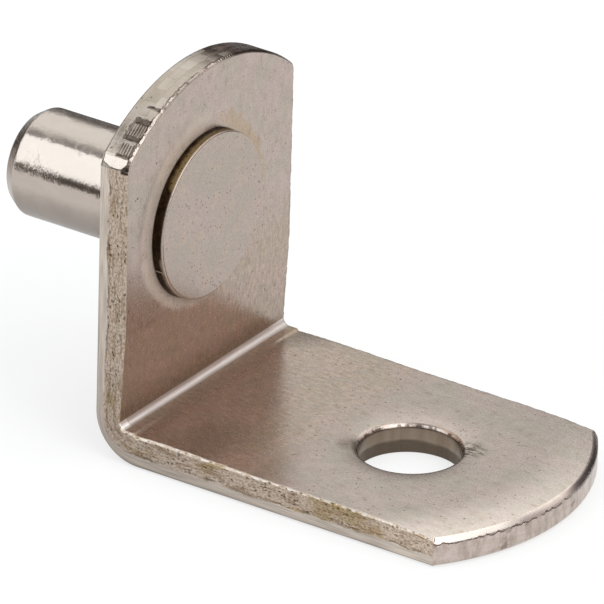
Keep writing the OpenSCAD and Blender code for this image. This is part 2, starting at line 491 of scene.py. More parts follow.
def outline_table(inset=0.0):
    """The outline moved in by inset, as rows of step, s, y and the normal's turn. It runs from the middle of
    the facet down the near side, round the tip, up the far side and over the crown. Arc k takes steps 2k to
    2k + 1, and whatever straight line follows it takes the step to 2k + 2."""
    corner_r = max(CORNER_R - inset, LEAST_CORNER_R)
    aside = HALF_W - inset - corner_r
    crown_ahead, crown_turn = corner_place(CROWN_R - inset, corner_r, aside)
    tip_ahead, tip_turn = corner_place(TIP_R - inset, corner_r, aside)
    facet_turn, facet_r, first, second, crown_end = facet_place(inset)
    middle = (first + second) / 2 + np.array([cos(facet_turn), sin(facet_turn)]) * facet_r
    near, far = MIDDLE_Y - aside, MIDDLE_Y + aside
    crown_corner, tip_corner = CROWN_CENTRE[0] - crown_ahead, TIP_CENTRE[0] + tip_ahead
    arcs = [
        (*middle, 0, facet_turn - 2 * pi, facet_turn - 2 * pi),
        (*first, facet_r, facet_turn - 2 * pi, -pi / 2),
        (tip_corner, near, corner_r, -pi / 2, -tip_turn),
        (*TIP_CENTRE, TIP_R - inset, -tip_turn, tip_turn),
        (tip_corner, far, corner_r, tip_turn, pi / 2),
        (crown_corner, far, corner_r, pi / 2, pi - crown_turn),
        (*CROWN_CENTRE, CROWN_R - inset, pi - crown_turn, crown_end),
        (*second, facet_r, crown_end, facet_turn),
        (*middle, 0, facet_turn, facet_turn)]
    steps = np.concatenate([2 * k + np.linspace(0, 1, ARC_SAMPLES) for k in range(len(arcs))])
    turns = np.concatenate([np.linspace(arc[3], arc[4], ARC_SAMPLES) for arc in arcs])
    centre_s, centre_y, radius = (np.repeat([arc[k] for arc in arcs], ARC_SAMPLES) for k in range(3))
    return np.stack([steps, centre_s + radius * np.cos(turns), centre_y + radius * np.sin(turns), turns], 1)


outline = outline_table()
outline_length = np.concatenate([[0], np.cumsum(np.hypot(np.diff(outline[:, 1]), np.diff(outline[:, 2])))])
perimeter = outline_length[-1]


def length_at(step):
    """The length along the outline at a step."""
    return np.interp(step, outline[:, 0], outline_length)


near_tip_corner, far_tip_corner, far_crown_corner = map(
    length_at, (NEAR_TIP_STEP, FAR_TIP_STEP, FAR_CROWN_STEP))
print("outline", round(perimeter, 1), "mm round")

# %% [markdown]
# ## The grid
#
# A face could be one big polygon, but a polygon can't be bent or dished. So one grid of rows and columns
# covers each face of the plate, and its edge nodes lie on the outline. Rows are closest together in the bend
# and at the two ends. Round each hole a square block of cells is left out and filled with rings that turn
# from the square into the circle. Both faces, the rim and the walls of the holes share their edge nodes, so
# welding gives one closed shell.

# %% Rows and columns
BORDER_Y = (-5.3, 6.1)
BLOCK_Y = (-4.3, 4.9)
PIN_BLOCK_S = (-4.1, 4.9)
HOLE_BLOCK_HALF = 4.6
COLUMN_STOPS = (strip_low[1], BORDER_Y[0], *BLOCK_Y, BORDER_Y[1], strip_high[1])
COLUMN_CELLS = (14, 6, 32, 8, 12)
ROW_STOPS = (*PIN_BLOCK_S, BEND_START, BEND_END, HOLE_CENTRE[0] - HOLE_BLOCK_HALF,
             HOLE_CENTRE[0] + HOLE_BLOCK_HALF)
ROW_CELLS = (22, 84, 28, 30, 50, 80, 34)


def spaced(stops, cells):
    """Numbers from the first stop to the last, evenly spaced between each stop and the next."""
    pieces = [np.linspace(a, b, n, endpoint=False) for a, b, n in zip(stops[:-1], stops[1:], cells)]
    return np.concatenate(pieces + [[stops[-1]]])


side_starts = np.interp(SIDE_STEP, outline[:, 0], outline[:, 1]) - length_at(SIDE_STEP)
near_lengths = spaced([0, *(stop - side_starts for stop in ROW_STOPS), near_tip_corner], ROW_CELLS)
across = (spaced(COLUMN_STOPS, COLUMN_CELLS) - strip_low[1]) / (2 * HALF_W)
zone_rows = np.cumsum([0, *ROW_CELLS])
block_columns = (sum(COLUMN_CELLS[:2]), sum(COLUMN_CELLS[:3]))
pin_rows = (zone_rows[1], zone_rows[2])
hole_rows = (zone_rows[5], zone_rows[6])
ROWS, COLUMNS = zone_rows[-1], sum(COLUMN_CELLS)
print(ROWS, "rows and", COLUMNS, "columns")

# %% [markdown]
# The loop of edge nodes runs once round the grid. Each node keeps its place, the outward normal, and how
# much it belongs to the crown, to the tip and to the sides, because the three were cut in different ways.

# %% Edge loop
END_FROM, END_RANGE = 0.15, 0.4


def smooth(x):
    """Eases a value from 0 to 1 with no corner at either end: three x squared less two x cubed."""
    x = np.clip(x, 0, 1)
    return x * x * (3 - 2 * x)


loop_lengths = np.concatenate([
    near_lengths[:-1],
    near_tip_corner + (far_tip_corner - near_tip_corner) * across[:-1],
    far_crown_corner - near_lengths[:0:-1],
    perimeter - (perimeter - far_crown_corner) * across[:0:-1],
])
LOOP = len(loop_lengths)
loop_steps = np.interp(loop_lengths, outline_length, outline[:, 0])
loop_s, loop_turn = (np.interp(loop_steps, outline[:, 0], outline[:, k]) for k in (1, 3))
endness = smooth((np.abs(np.cos(loop_turn)) - END_FROM) / END_RANGE)
loop_crown = np.where(loop_s < BEND_START, endness, 0)
loop_tip = np.where(loop_s > BEND_START, endness, 0)
print(LOOP, "edge nodes")


# %% Loop moved in
FACE_INSET = 0.9
INSET_LEVELS = 19
INSETS = np.linspace(0, FACE_INSET, INSET_LEVELS)
inset_loops = np.stack([
    np.stack([np.interp(loop_steps, table[:, 0], table[:, k]) for k in (1, 2)], 1)
    for table in map(outline_table, INSETS)])


def loop_at(inset):
    """Places (s, y) of the loop's nodes, each moved in by its own inset: a blend of the two nearest of the
    outlines that are worked out beforehand."""
    level = np.clip(inset / FACE_INSET, 0, 1) * (INSET_LEVELS - 1)
    below = np.minimum(level.astype(int), INSET_LEVELS - 2)
    share = (level - below)[..., None]
    node = np.broadcast_to(np.arange(LOOP), inset.shape)
    return inset_loops[below, node] * (1 - share) + inset_loops[below + 1, node] * share


def take(loop_values):
    """Splits values along the loop into the grid's four edges: the crown's and the tip's from the near side
    across, the near and far sides' from the crown on."""
    near = loop_values[:ROWS + 1]
    tip = loop_values[ROWS:ROWS + COLUMNS + 1]
    far = loop_values[ROWS + COLUMNS:2 * ROWS + COLUMNS + 1][::-1]
    crown = np.concatenate([loop_values[2 * ROWS + COLUMNS:], loop_values[:1]])[::-1]
    return crown, tip, near, far


print("the loop is worked out at", INSET_LEVELS, "insets up to", FACE_INSET, "mm")


# %% Face grid
def coons(first, last, near, far, steps):
    """Fills a four-sided patch between its edges: the blend between the first and last rows, plus the blend
    between the near and far sides, less the blend between the four corners."""
    v = across[:, None]
    u = steps[:, None, None]
    rows = (1 - u) * first + u * last
    columns = (1 - v) * near[:, None] + v * far[:, None]
    corners = (1 - u) * ((1 - v) * first[0] + v * first[-1]) + u * ((1 - v) * last[0] + v * last[-1])
    return rows + columns - corners


def face_grid(edge_loop):
    """The nodes of one face, (s, y): a filled patch at the crown, another at the tip, and straight rows
    between the sides for the rest."""
    crown, tip, near, far = take(edge_loop)
    first, last = zone_rows[1], zone_rows[-2]
    v = across[:, None]
    straight = near[first:last + 1, None] * (1 - v) + far[first:last + 1, None] * v
    crown_patch = coons(crown, straight[0], near[:first + 1], far[:first + 1],
                        np.linspace(0, 1, first + 1))
    tip_patch = coons(straight[-1], tip, near[last:], far[last:], np.linspace(0, 1, ROWS - last + 1))
    return np.concatenate([crown_patch[:-1], straight, tip_patch[1:]])


def block_loop(grid, rows, columns):
    """The nodes round a square block of the grid, once round, starting at its first row's near corner."""
    (a, b), (c, d) = rows, columns
    return np.concatenate([grid[a:b, c], grid[b, c:d], grid[b:a:-1, d], grid[a, d:c:-1]])


print("blocks: rows", pin_rows, "round the pin and", hole_rows, "round the screw hole")

# %% [markdown]
# ## Cut edges
#
# A punch first shears the sheet smooth and then tears it. The sides of this strip show both: a smooth,
# rounded band next to the outer face, and a rough grey band next to the inner one, which ends in a ragged
# burr. The crown was punched the same way, with a thin sharp edge in front. The tip was struck harder: its
# upper edge is rolled over and its lower one is rounded. A bevel would round them all alike. So each of the
# three gets a profile, as rows of inset and depth, and every node of the loop mixes them by how much it
# belongs to each.

# %% Edge profiles
WALL_ROWS = 16
BREAK_ROWS = 10
BREAK_FLATNESS = 0.85
ROUND_ROWS = 9
LEAD_GAP, TAIL_GAP = 0.02, 0.03


def rounding(reach, drop, rows, flatness=0.0):
    """A quarter turn from the face into the wall, as rows of (inset, depth): an arc squashed to its reach
    along the face and its drop down the wall, and flattened towards its chord by flatness."""
    turn = np.linspace(0, pi / 2, rows + 1)
    arc = np.stack([1 - np.sin(turn), 1 - np.cos(turn)], 1)
    chord = np.stack([1 - turn * 2 / pi, turn * 2 / pi], 1)
    return (arc * (1 - flatness) + chord * flatness) * [reach, drop]


def edge_profile(reach, drop, under_r):
    """One cut edge from the inner face to the outer one: a lead across the face, the broken edge, the wall
    and the round at the bottom."""
    start = np.array([[FACE_INSET, 0.0], [(FACE_INSET + reach) / 2, 0.0], [reach + LEAD_GAP, 0.0]])
    upper = rounding(reach, drop, BREAK_ROWS, BREAK_FLATNESS)
    depth = np.linspace(drop, SHEET_T - under_r, WALL_ROWS + 2)[1:-1]
    wall = np.stack([np.zeros(WALL_ROWS), depth], 1)
    lower = rounding(under_r, under_r, ROUND_ROWS)[::-1] * [1, -1] + [0, SHEET_T]
    end = np.array([[under_r + TAIL_GAP, SHEET_T], [FACE_INSET, SHEET_T]])
    return np.concatenate([start, upper, wall, lower, end])


side_profile = edge_profile(reach=0.09, drop=0.09, under_r=0.2)
crown_profile = edge_profile(reach=0.11, drop=0.12, under_r=0.2)
tip_profile = edge_profile(reach=0.25, drop=0.22, under_r=0.3)
print(len(side_profile), "rows in each edge profile")


# %% [markdown]
# A torn wall isn't flat, and no two stretches of it are alike. A bump in the material could show that, but
# not in the outline, so soft noise moves the nodes themselves. Its seed is fixed, and the bumps are the same
# each time the script runs. The inner face isn't quite flat either: the tool pushed it down at the tip and
# round the screw hole.

# %% Noise
NOISE_CELLS = 128


def noise(u, v, seed):
    """Soft random heights from -1 to 1: one at each whole-numbered point of the (u, v) plane, eased between
    them."""
    table = np.random.default_rng(seed).uniform(-1, 1, (NOISE_CELLS, NOISE_CELLS))
    iu, iv = np.floor(u).astype(int), np.floor(v).astype(int)
    fu, fv = smooth(u - iu), smooth(v - iv)

    def corner(du, dv):
        return table[(iu + du) % NOISE_CELLS, (iv + dv) % NOISE_CELLS]

    low = corner(0, 0) * (1 - fu) + corner(1, 0) * fu
    high = corner(0, 1) * (1 - fu) + corner(1, 1) * fu
    return low * (1 - fv) + high * fv


print("noise repeats after", NOISE_CELLS, "bumps")


# %% Sunk face
TIP_SLOPE_RUN = 2.8
TIP_SLOPE_DROP = 0.17
DISH_RUN = 0.4
DISH_DROP = 0.08


def sink(s, y):
    """How far the inner face lies below its plane. It slopes away near the tip, by the square of how far a
    point has come into the slope, and it dishes a little round the punched hole."""
    from_tip = TIP_R - np.hypot(s - TIP_CENTRE[0], y - TIP_CENTRE[1])
    into_slope = np.clip(1 - from_tip / TIP_SLOPE_RUN, 0, 1) * (s > BEND_END)
    from_hole = np.hypot(s - HOLE_CENTRE[0], y - HOLE_CENTRE[1]) - HOLE_R
    dish = np.exp(-np.maximum(from_hole, 0) / DISH_RUN)
    return TIP_SLOPE_DROP * into_slope ** 2 + DISH_DROP * dish


print("the inner face sinks", TIP_SLOPE_DROP, "mm at the tip and", DISH_DROP, "mm round the hole")

# %% [markdown]
# The rim is the profile carried round the loop. Its nodes move in and out by noise, most in the rough band of
# the sides, and the burr on the inner edge is ragged. The first and last rows stay where the faces meet them.

# %% Rim
ROUGH_SHARE = 0.62
ROUGH_BORDER = 0.08
ROUGH_INSET = 0.015
WALL_INSET = 0.3
BURR_DROP = 0.15
SIDE_BURR, CROWN_BURR = 0.05, 0.015


def rim_points():
    """Rows by loop nodes of (s, y, w): the place on the outline, less the normal times the inset, at the
    profile's depth."""
    mix = [1 - loop_crown - loop_tip, loop_crown, loop_tip]
    shapes = [side_profile, crown_profile, tip_profile]
    profile = sum(share[None, :, None] * shape[:, None, :] for share, shape in zip(mix, shapes))
    inset, depth = profile[..., 0], profile[..., 1]
    along = np.broadcast_to(loop_lengths, inset.shape)
    on_wall = smooth((WALL_INSET - inset) / WALL_INSET) * (inset < WALL_INSET)
    border = ROUGH_SHARE + 0.03 * noise(along / 0.5, along * 0, 5)
    torn = on_wall * smooth((border - depth / SHEET_T) / ROUGH_BORDER + 0.5)
    grit = 0.6 * noise(along / 0.22, depth / 0.16, 11) + 0.4 * noise(along / 0.11, depth / 0.09, 12)
    inset = inset + mix[0] * torn * (ROUGH_INSET + ROUGH_INSET * grit)
    burr = smooth(1 - depth / BURR_DROP) * on_wall
    ragged = 0.4 + 0.4 * noise(along / 0.4, along * 0, 21) + 0.4 * noise(along / 0.13, along * 0, 22)
    inset = inset + burr * (mix[0] * SIDE_BURR + loop_crown * CROWN_BURR) * np.clip(ragged, 0, 1.2)
    return np.concatenate([loop_at(inset), depth[..., None]], -1)


rim = rim_points()
print("rim", rim.shape[0], "rows of", rim.shape[1], "nodes")

# %% [markdown]
# ## Holes
#
# A boolean cut would leave long thin faces round a hole, and they shade badly. Here rings start on the
# square block and end on the circle, each node keeping its own direction from the centre. Then they turn
# down over the mouth, follow the wall and open on to the other face. The screw hole's mouth is rolled where
# the punch went in, and the pin's hole has plain square edges, hidden under the pin's head.

# %% Hole surfaces
RING_CROWDING = 1.6
MOUTH_R = 0.26
MOUTH_FLATTENING = 0.8
BREAKOUT_R = 0.05
BREAKOUT_LEAN = 0.05


def hole_rings(inner_block, outer_block, centre, radii, depths, rings):
    """Rows of (s, y, w) from one face's block, down the hole and out to the other face's block. Between a
    block and the hole's edge the rows blend from the square to the circle, closer together near it."""
    away = inner_block - centre
    direction = away / np.hypot(away[:, 0], away[:, 1])[:, None]
    steps = 1 - (1 - np.linspace(0, 1, rings + 1)) ** RING_CROWDING
    first = centre + direction * radii[0]
    last = centre + direction * radii[-1]
    top = inner_block + (first - inner_block) * steps[:-1, None, None]
    bottom = outer_block + (last - outer_block) * steps[-2::-1, None, None]
    wall = centre + direction * np.array(radii)[:, None, None]
    count = len(inner_block)
    levels = np.concatenate([np.zeros(rings), depths, np.full(rings, SHEET_T)])
    flat = np.concatenate([top, wall, bottom])
    return np.concatenate([flat, np.broadcast_to(levels[:, None, None], (len(levels), count, 1))], -1)


def screw_hole_profile():
    """Radii and depths down the screw hole: a rolled mouth, a wall that leans out by a hair below the
    smooth band, and a small break at the bottom."""
    mouth = rounding(MOUTH_R, MOUTH_R * MOUTH_FLATTENING, 8)
    depth = np.linspace(mouth[-1, 1], SHEET_T - BREAKOUT_R, 16)[1:-1]
    lean = BREAKOUT_LEAN * smooth((depth / SHEET_T - 0.5) / 0.12)
    exit_turn = rounding(BREAKOUT_R, BREAKOUT_R, 4)[::-1] * [1, -1] + [BREAKOUT_LEAN, SHEET_T]
    radii = np.concatenate([HOLE_R + mouth[:, 0], HOLE_R + lean, HOLE_R + exit_turn[:, 0]])
    return radii, np.concatenate([mouth[:, 1], depth, exit_turn[:, 1]])


print("screw hole profile", len(screw_hole_profile()[0]), "rows")


# %% Weld the shell
WELD = 2e-4


def quads(rows, columns, closed=False, skip=None):
    """Faces of a grid of nodes as rows of four indices. A closed grid joins its last column to its first.
    skip is a pair of row and column ranges whose cells are left out."""
    index = np.arange(rows * columns).reshape(rows, columns)
    if closed:
        index = np.concatenate([index, index[:, :1]], 1)
    cells = np.stack([index[:-1, :-1], index[1:, :-1], index[1:, 1:], index[:-1, 1:]], -1)
    keep = np.ones(cells.shape[:2], bool)
    for (a, b), (c, d) in skip or []:
        keep[a:b, c:d] = False
    return cells[keep]


def shell_mesh(name, parts, attributes):
    """One mesh from several grids: their nodes and faces one after another, doubles welded, normals turned
    outwards. attributes holds one array per name, with a value for every node before the weld."""
    points = np.concatenate([p.reshape(-1, 3) for p, _ in parts])
    starts = np.cumsum([0] + [p.reshape(-1, 3).shape[0] for p, _ in parts[:-1]])
    faces = np.concatenate([f + start for (_, f), start in zip(parts, starts)])
    mesh = bpy.data.meshes.new(name)
    mesh.from_pydata((points * MM).tolist(), [], faces.tolist())
    for key, values in attributes.items():
        layer = mesh.attributes.new(key, "FLOAT", "POINT")
        layer.data.foreach_set("value", np.ascontiguousarray(values, np.float32))
    shell = bmesh.new()
    shell.from_mesh(mesh)
    bmesh.ops.remove_doubles(shell, verts=shell.verts, dist=WELD * MM)
    bmesh.ops.recalc_face_normals(shell, faces=shell.faces)
    open_edges = sum(1 for edge in shell.edges if not edge.is_manifold)
    shell.to_mesh(mesh)
    shell.free()
    mesh.shade_smooth()
    print(name, len(mesh.vertices), "nodes,", 2 * len(mesh.polygons), "triangles,", open_edges, "open edges")
    return mesh


print("nodes closer than", WELD, "mm are welded")


# %% Strip's surfaces
NECK_ROWS = 5
NECK_RINGS, HOLE_RINGS = 10, 14


def strip_parts():
    """The strip's surfaces as (nodes, faces): the two faces, the rim, and one surface through each hole."""
    inner = face_grid(rim[0, :, :2])
    outer = face_grid(rim[-1, :, :2])
    skip = [(pin_rows, block_columns), (hole_rows, block_columns)]
    face_cells = quads(ROWS + 1, COLUMNS + 1, skip=skip)

    def level(grid, depth):
        return np.concatenate([grid, np.full(grid.shape[:2] + (1,), depth)], -1)

    parts = [(level(inner, 0.0), face_cells), (level(outer, SHEET_T), face_cells)]
    parts.append((rim, quads(*rim.shape[:2], closed=True)))
    neck_radii, neck_depths = np.full(NECK_ROWS, NECK_HOLE_R), np.linspace(0, SHEET_T, NECK_ROWS)
    holes = [
        (PIN_CENTRE, pin_rows, neck_radii, neck_depths, NECK_RINGS),
        (HOLE_CENTRE, hole_rows, *screw_hole_profile(), HOLE_RINGS)]
    for centre, rows, radii, depths, rings in holes:
        blocks = [block_loop(grid, rows, block_columns) for grid in (inner, outer)]
        points = hole_rings(*blocks, centre, radii, depths, rings)
        parts.append((points, quads(*points.shape[:2], closed=True)))
    return parts


parts = strip_parts()
print("the strip has", len(parts), "surfaces")

# %% [markdown]
# A finish has to know where it is: on a face or on a cut, how deep in the sheet, how far along the cut. The
# material could work that out from places, with a case for each leg and each curve. The grid knows it
# already, so each node carries it as values, and the material reads them.

# %% Strip's values
CUT_STARTS, CUT_ENDS = (3.5, 4), (2.5, 6)
MOUTH_CUT_SHARE = 0.6


def strip_attributes(parts):
    """What the finish needs to know about each node: how much of it is cut wall, its depth through the
    sheet, its length along the cut, and whether that cut is the crown, the tip or the screw hole. On the rim
    the cut starts and ends softly over a few of the profile's rows."""
    surfaces = [points for points, _ in parts]
    edge, hole = surfaces[2], surfaces[4]
    shape = edge.shape[:2]

    def fill(values_edge, values_hole=None):
        filled = [np.zeros(points.shape[0] * points.shape[1]) for points in surfaces]
        filled[2] = np.broadcast_to(values_edge, shape).ravel()
        if values_hole is not None:
            filled[4] = values_hole.ravel()
        return np.concatenate(filled)

    rows = np.arange(shape[0])
    cut_rows = (smooth((rows - CUT_STARTS[0]) / CUT_STARTS[1])
                * smooth((shape[0] - CUT_ENDS[0] - rows) / CUT_ENDS[1]))
    from_centre = hole[..., :2] - HOLE_CENTRE
    hole_from = np.hypot(from_centre[..., 0], from_centre[..., 1]) - HOLE_R
    hole_cut = smooth(1 - hole_from / (MOUTH_CUT_SHARE * MOUTH_R))
    hole_turn = np.arctan2(from_centre[..., 0], from_centre[..., 1])
    return {
        "cut": fill(cut_rows[:, None], hole_cut),
        "depth": np.concatenate([points[..., 2].ravel() / SHEET_T for points in surfaces]),
        "along": fill(loop_lengths - perimeter * (loop_lengths > far_crown_corner), hole_turn * HOLE_R),
        "crown": fill(loop_crown),
        "tip": fill(loop_tip),
        "bore": fill(0.0, np.ones(hole.shape[:2])),
    }


attributes = strip_attributes(parts)
print("each node carries", ", ".join(attributes))


# %% Strip shell
def pressed(points):
    """Sinks points (s, y, w) with the inner face, less and less towards the outer one, and folds them."""
    s, y, w = points[..., 0], points[..., 1], points[..., 2]
    depth = w + sink(s, y) * (1 - np.clip(w / SHEET_T, 0, 1))
    return fold(np.stack([s, y, depth], -1))


strip_shell = [(pressed(points), faces) for points, faces in parts]
strip = bpy.data.objects.new("bent_strip", shell_mesh("bent_strip", strip_shell, attributes))
scene.collection.objects.link(strip)

# %% [markdown]
# ## The pin
#
# The pin was turned from round bar: an end with a chamfer, the shank, a neck that is pressed into the strip,
# and a thin flat head. Three cylinders with bevels would come close. One profile spun about the axis is
# closed by itself, and it can have extra rows on both sides of each edge, so that smooth shading keeps its
# flats flat.

# %% Pin profile
PIN_R = mounts["wall_pin"]["dims"]["r_mm"]
PIN_END_X = pin_low[0]
HEAD_FACE_X = pin_high[0]
HEAD_R = pin_high[2]
CHAMFER_LENGTH = 0.6
CHAMFER_DEPTH = 0.4
HEAD_EDGE_R = 0.1
NODE_SPACING = 0.12
FLAT_MARGIN = 0.02


def soft_corner(before, corner, after, radius, rows=6):
    """Rounds a corner of an outline: points on the curve that leaves the line towards the corner at radius
    before it and meets the next line at radius past it, bending by squared shares of the three points."""
    into = (before - corner) / np.hypot(*(before - corner))
    out = (after - corner) / np.hypot(*(after - corner))
    t = np.linspace(0, 1, rows)[:, None]
    start, end = corner + into * radius, corner + out * radius
    return (1 - t) ** 2 * start + 2 * t * (1 - t) * corner + t ** 2 * end


def rounded_profile(corners, radii, spacing):
    """Joins soft corners by straight stretches with a node at least every spacing. A long stretch has one
    more node a small margin from each end, which keeps its shading flat. The ends stay sharp."""
    corners = [np.array(c, float) for c in corners]
    rows = [corners[0][None]]
    for k in range(1, len(corners) - 1):
        rows.append(soft_corner(corners[k - 1], corners[k], corners[k + 1], radii[k]))
    rows.append(corners[-1][None])
    filled = [rows[0]]
    for before, after in zip(rows[:-1], rows[1:]):
        gap = np.hypot(*(after[0] - before[-1]))
        count = max(1, int(np.ceil(gap / spacing)))
        edges = np.array([FLAT_MARGIN, gap - FLAT_MARGIN]) / gap if gap > 4 * FLAT_MARGIN else np.array([])
        steps = np.sort(np.concatenate([np.linspace(0, 1, count + 1)[1:-1], edges]))
        filled.append(before[-1] + (after[0] - before[-1]) * steps[:, None])
        filled.append(after)
    return np.concatenate(filled)


pin_corners = [
    (PIN_END_X, 0), (PIN_END_X, PIN_R - CHAMFER_DEPTH), (PIN_END_X + CHAMFER_LENGTH, PIN_R), (0, PIN_R),
    (0, NECK_R), (SHEET_T, NECK_R), (SHEET_T, HEAD_R), (HEAD_FACE_X, HEAD_R), (HEAD_FACE_X, 0)]
pin_radii = [0, 0.12, 0.1, 0.02, 0.02, 0.02, 0.03, HEAD_EDGE_R, 0]
pin_profile = rounded_profile(pin_corners, pin_radii, NODE_SPACING)
print("pin profile", len(pin_profile), "rows")


# %% Pin shell
PIN_STEPS = 256
HEAD_WALL_MARGIN = 0.02


def spun_shell(profile, steps):
    """Spins a profile of (x, radius) about the X axis: each row is a circle, and the first and last rows,
    on the axis, are single points with a fan of triangles."""
    turn = np.linspace(0, 2 * pi, steps, endpoint=False)
    x = np.broadcast_to(profile[:, :1], (len(profile), steps))
    y = profile[:, 1:] * np.cos(turn)
    z = profile[:, 1:] * np.sin(turn)
    points = np.stack([x, y, z], -1)
    return points, quads(len(profile), steps, closed=True)


pin_points, pin_faces = spun_shell(pin_profile, PIN_STEPS)
pin_x, pin_reach = pin_points[..., 0].ravel(), np.repeat(pin_profile[:, 1], PIN_STEPS)
on_head_wall = (pin_reach > HEAD_R - HEAD_WALL_MARGIN) & (pin_x > SHEET_T - HEAD_WALL_MARGIN / 2)
pin_mesh = shell_mesh("headed_pin", [(pin_points, pin_faces)], {"head_wall": on_head_wall.astype(float)})
pin = bpy.data.objects.new("headed_pin", pin_mesh)
scene.collection.objects.link(pin)

# %% [markdown]
# ## Nickel
#
# Nickel plate on punched steel is a warm grey metal. On the faces it is satin, with fine grain that follows
# the rolled sheet, small pits and faint brown stains. Where the sheet was torn, the plate is thin and rough,
# and dirt stays in it. The marks could be painted as a picture, but a picture blurs when the camera comes
# close, so each is worked out from its place on the strip. Textures are laid out in millimetres: over the
# faces by the run down the strip and the way across it, and over the cut edges by the length along the cut
# and the depth through the sheet.
#
# Two patterns make nearly all of the marks. Cloudy noise, cut at two levels, gives patches with soft
# borders, and stretched it gives grain, streaks and scratches. A cell pattern gives pits and specks: one at
# a random point in each cell of space.

# %% Places and clouds
def scaled(tree, vector, by):
    """A vector times another, part by part."""
    return add_node(tree, "ShaderNodeVectorMath", {0: vector, 1: by}, operation="MULTIPLY").outputs[0]


def vector_of(tree, x=0.0, y=0.0, z=0.0):
    """A vector from three values."""
    return add_node(tree, "ShaderNodeCombineXYZ", {0: x, 1: y, 2: z}).outputs[0]


def parts_of(tree, vector):
    """A vector's three values."""
    return add_node(tree, "ShaderNodeSeparateXYZ", {0: vector}).outputs


def object_place(tree):
    """The shaded point's place on the object, in millimetres."""
    return scaled(tree, add_node(tree, "ShaderNodeTexCoord").outputs["Object"], (1 / MM,) * 3)


def attribute(tree, name):
    """A value that the mesh carries."""
    return add_node(tree, "ShaderNodeAttribute", attribute_name=name).outputs["Fac"]


def cloud(tree, place, scale, detail=3.0, stretch=(1, 1, 1), roughness=0.55):
    """Cloudy noise about 0.5, with scale features per millimetre before the stretch."""
    inputs = {"Vector": scaled(tree, place, stretch), "Scale": scale, "Detail": detail,
              "Roughness": roughness}
    return add_node(tree, "ShaderNodeTexNoise", inputs).outputs[0]


def patches(tree, place, scale, low, high, *to, **cloud_options):
    """Cloudy noise cut into patches: 0 where it is under low and 1 where it is over high, or the two values
    given after those."""
    return ease(tree, cloud(tree, place, scale, **cloud_options), low, high, *to)


def within(tree, value, low, high, soft):
    """1 where value lies between low and high, falling to 0 over a soft border outside them."""
    return times(tree, ease(tree, value, low - soft, low), fade(tree, value, high, high + soft))


print("places and patterns are in mm,", 1 / MM, "to the metre")


# %% Specks and pits
RAGGED_SHARE = 0.4


def specks(tree, place, per_mm, radius, share):
    """Small ragged marks, 1 at their middles: one at a random point in each cell of space, kept in a share of
    the cells only. per_mm is the number of cells along a millimetre, and radius is in millimetres."""
    cell = add_node(tree, "ShaderNodeTexVoronoi", {"Vector": place, "Scale": per_mm})
    chosen = parts_of(tree, cell.outputs["Color"])[0]
    ragged = patches(tree, place, 3 * per_mm, 0.3, 0.7, -RAGGED_SHARE * radius, RAGGED_SHARE * radius,
                     detail=2.0)
    off = plus(tree, times(tree, cell.outputs["Distance"], 1 / per_mm), ragged)
    return times(tree, fade(tree, off, 0.5 * radius, radius), maths(tree, "LESS_THAN", chosen, share))


def pitted(tree, place, crowding, lone_share):
    """Pits on a satin face: small ones, kept where they crowd, and a few larger ones on their own."""
    return larger(tree, specks(tree, place, 4.5, 0.045, crowding), specks(tree, place, 1.7, 0.06, lone_share))


print("a speck's border wanders by up to", RAGGED_SHARE, "of its radius")


# %% Shades and metal
BUMP_DEPTH = 0.006


def grey(tree, value):
    """A neutral colour from a value."""
    return vector_of(tree, value, value, value)


def shaded(tree, colour, *marks):
    """Multiplies a colour by the tint of each mark in turn, as far as the mark's share says. A mark is
    (share, tint)."""
    for share, tint in marks:
        colour = blend(tree, share, colour, tint, "MULTIPLY")
    return colour


def satin_height(tree, grain, pits):
    """The relief of a satin face: its grain, less its pits."""
    return minus(tree, times(tree, grain, 0.4), times(tree, pits, 1.2))


def new_metal(name):
    """An empty material with nodes, and its tree."""
    material = bpy.data.materials.new(name)
    material.use_nodes = True
    material.node_tree.nodes.clear()
    return material, material.node_tree


def finish_metal(material, colour, roughness, height, metallic=1.0):
    """Gives a material its metal shader. A height of 1 stands BUMP_DEPTH proud."""
    tree = material.node_tree
    bump = add_node(tree, "ShaderNodeBump", {"Height": height, "Strength": 1.0, "Distance": BUMP_DEPTH * MM})
    shader = add_node(tree, "ShaderNodeBsdfPrincipled", {
        "Base Color": colour, "Metallic": metallic, "Roughness": roughness, "Normal": bump.outputs[0]})
    add_node(tree, "ShaderNodeOutputMaterial", {"Surface": shader.outputs[0]})


print("a height of 1 is", BUMP_DEPTH, "mm")

# %% [markdown]
# ### The faces of the strip
#
# A broad mottle shifts the plate between olive and pink, grain runs along the strip, and small dark pits lie
# scattered, more in some places than in others. u is the run along the strip: x less z is the same on both
# legs, once for each, so one pattern goes over the bend without a break.

# %% Plain plate
OLIVE_PLATE = (0.432, 0.372, 0.322, 1)
PINK_PLATE = (0.462, 0.380, 0.342, 1)
ROLLED_TINT = (0.95, 0.935, 0.92, 1)
PIT_TINT = (0.40, 0.34, 0.31, 1)
FLECK_TINT = (0.80, 0.73, 0.66, 1)
FACES_APART = 7.0


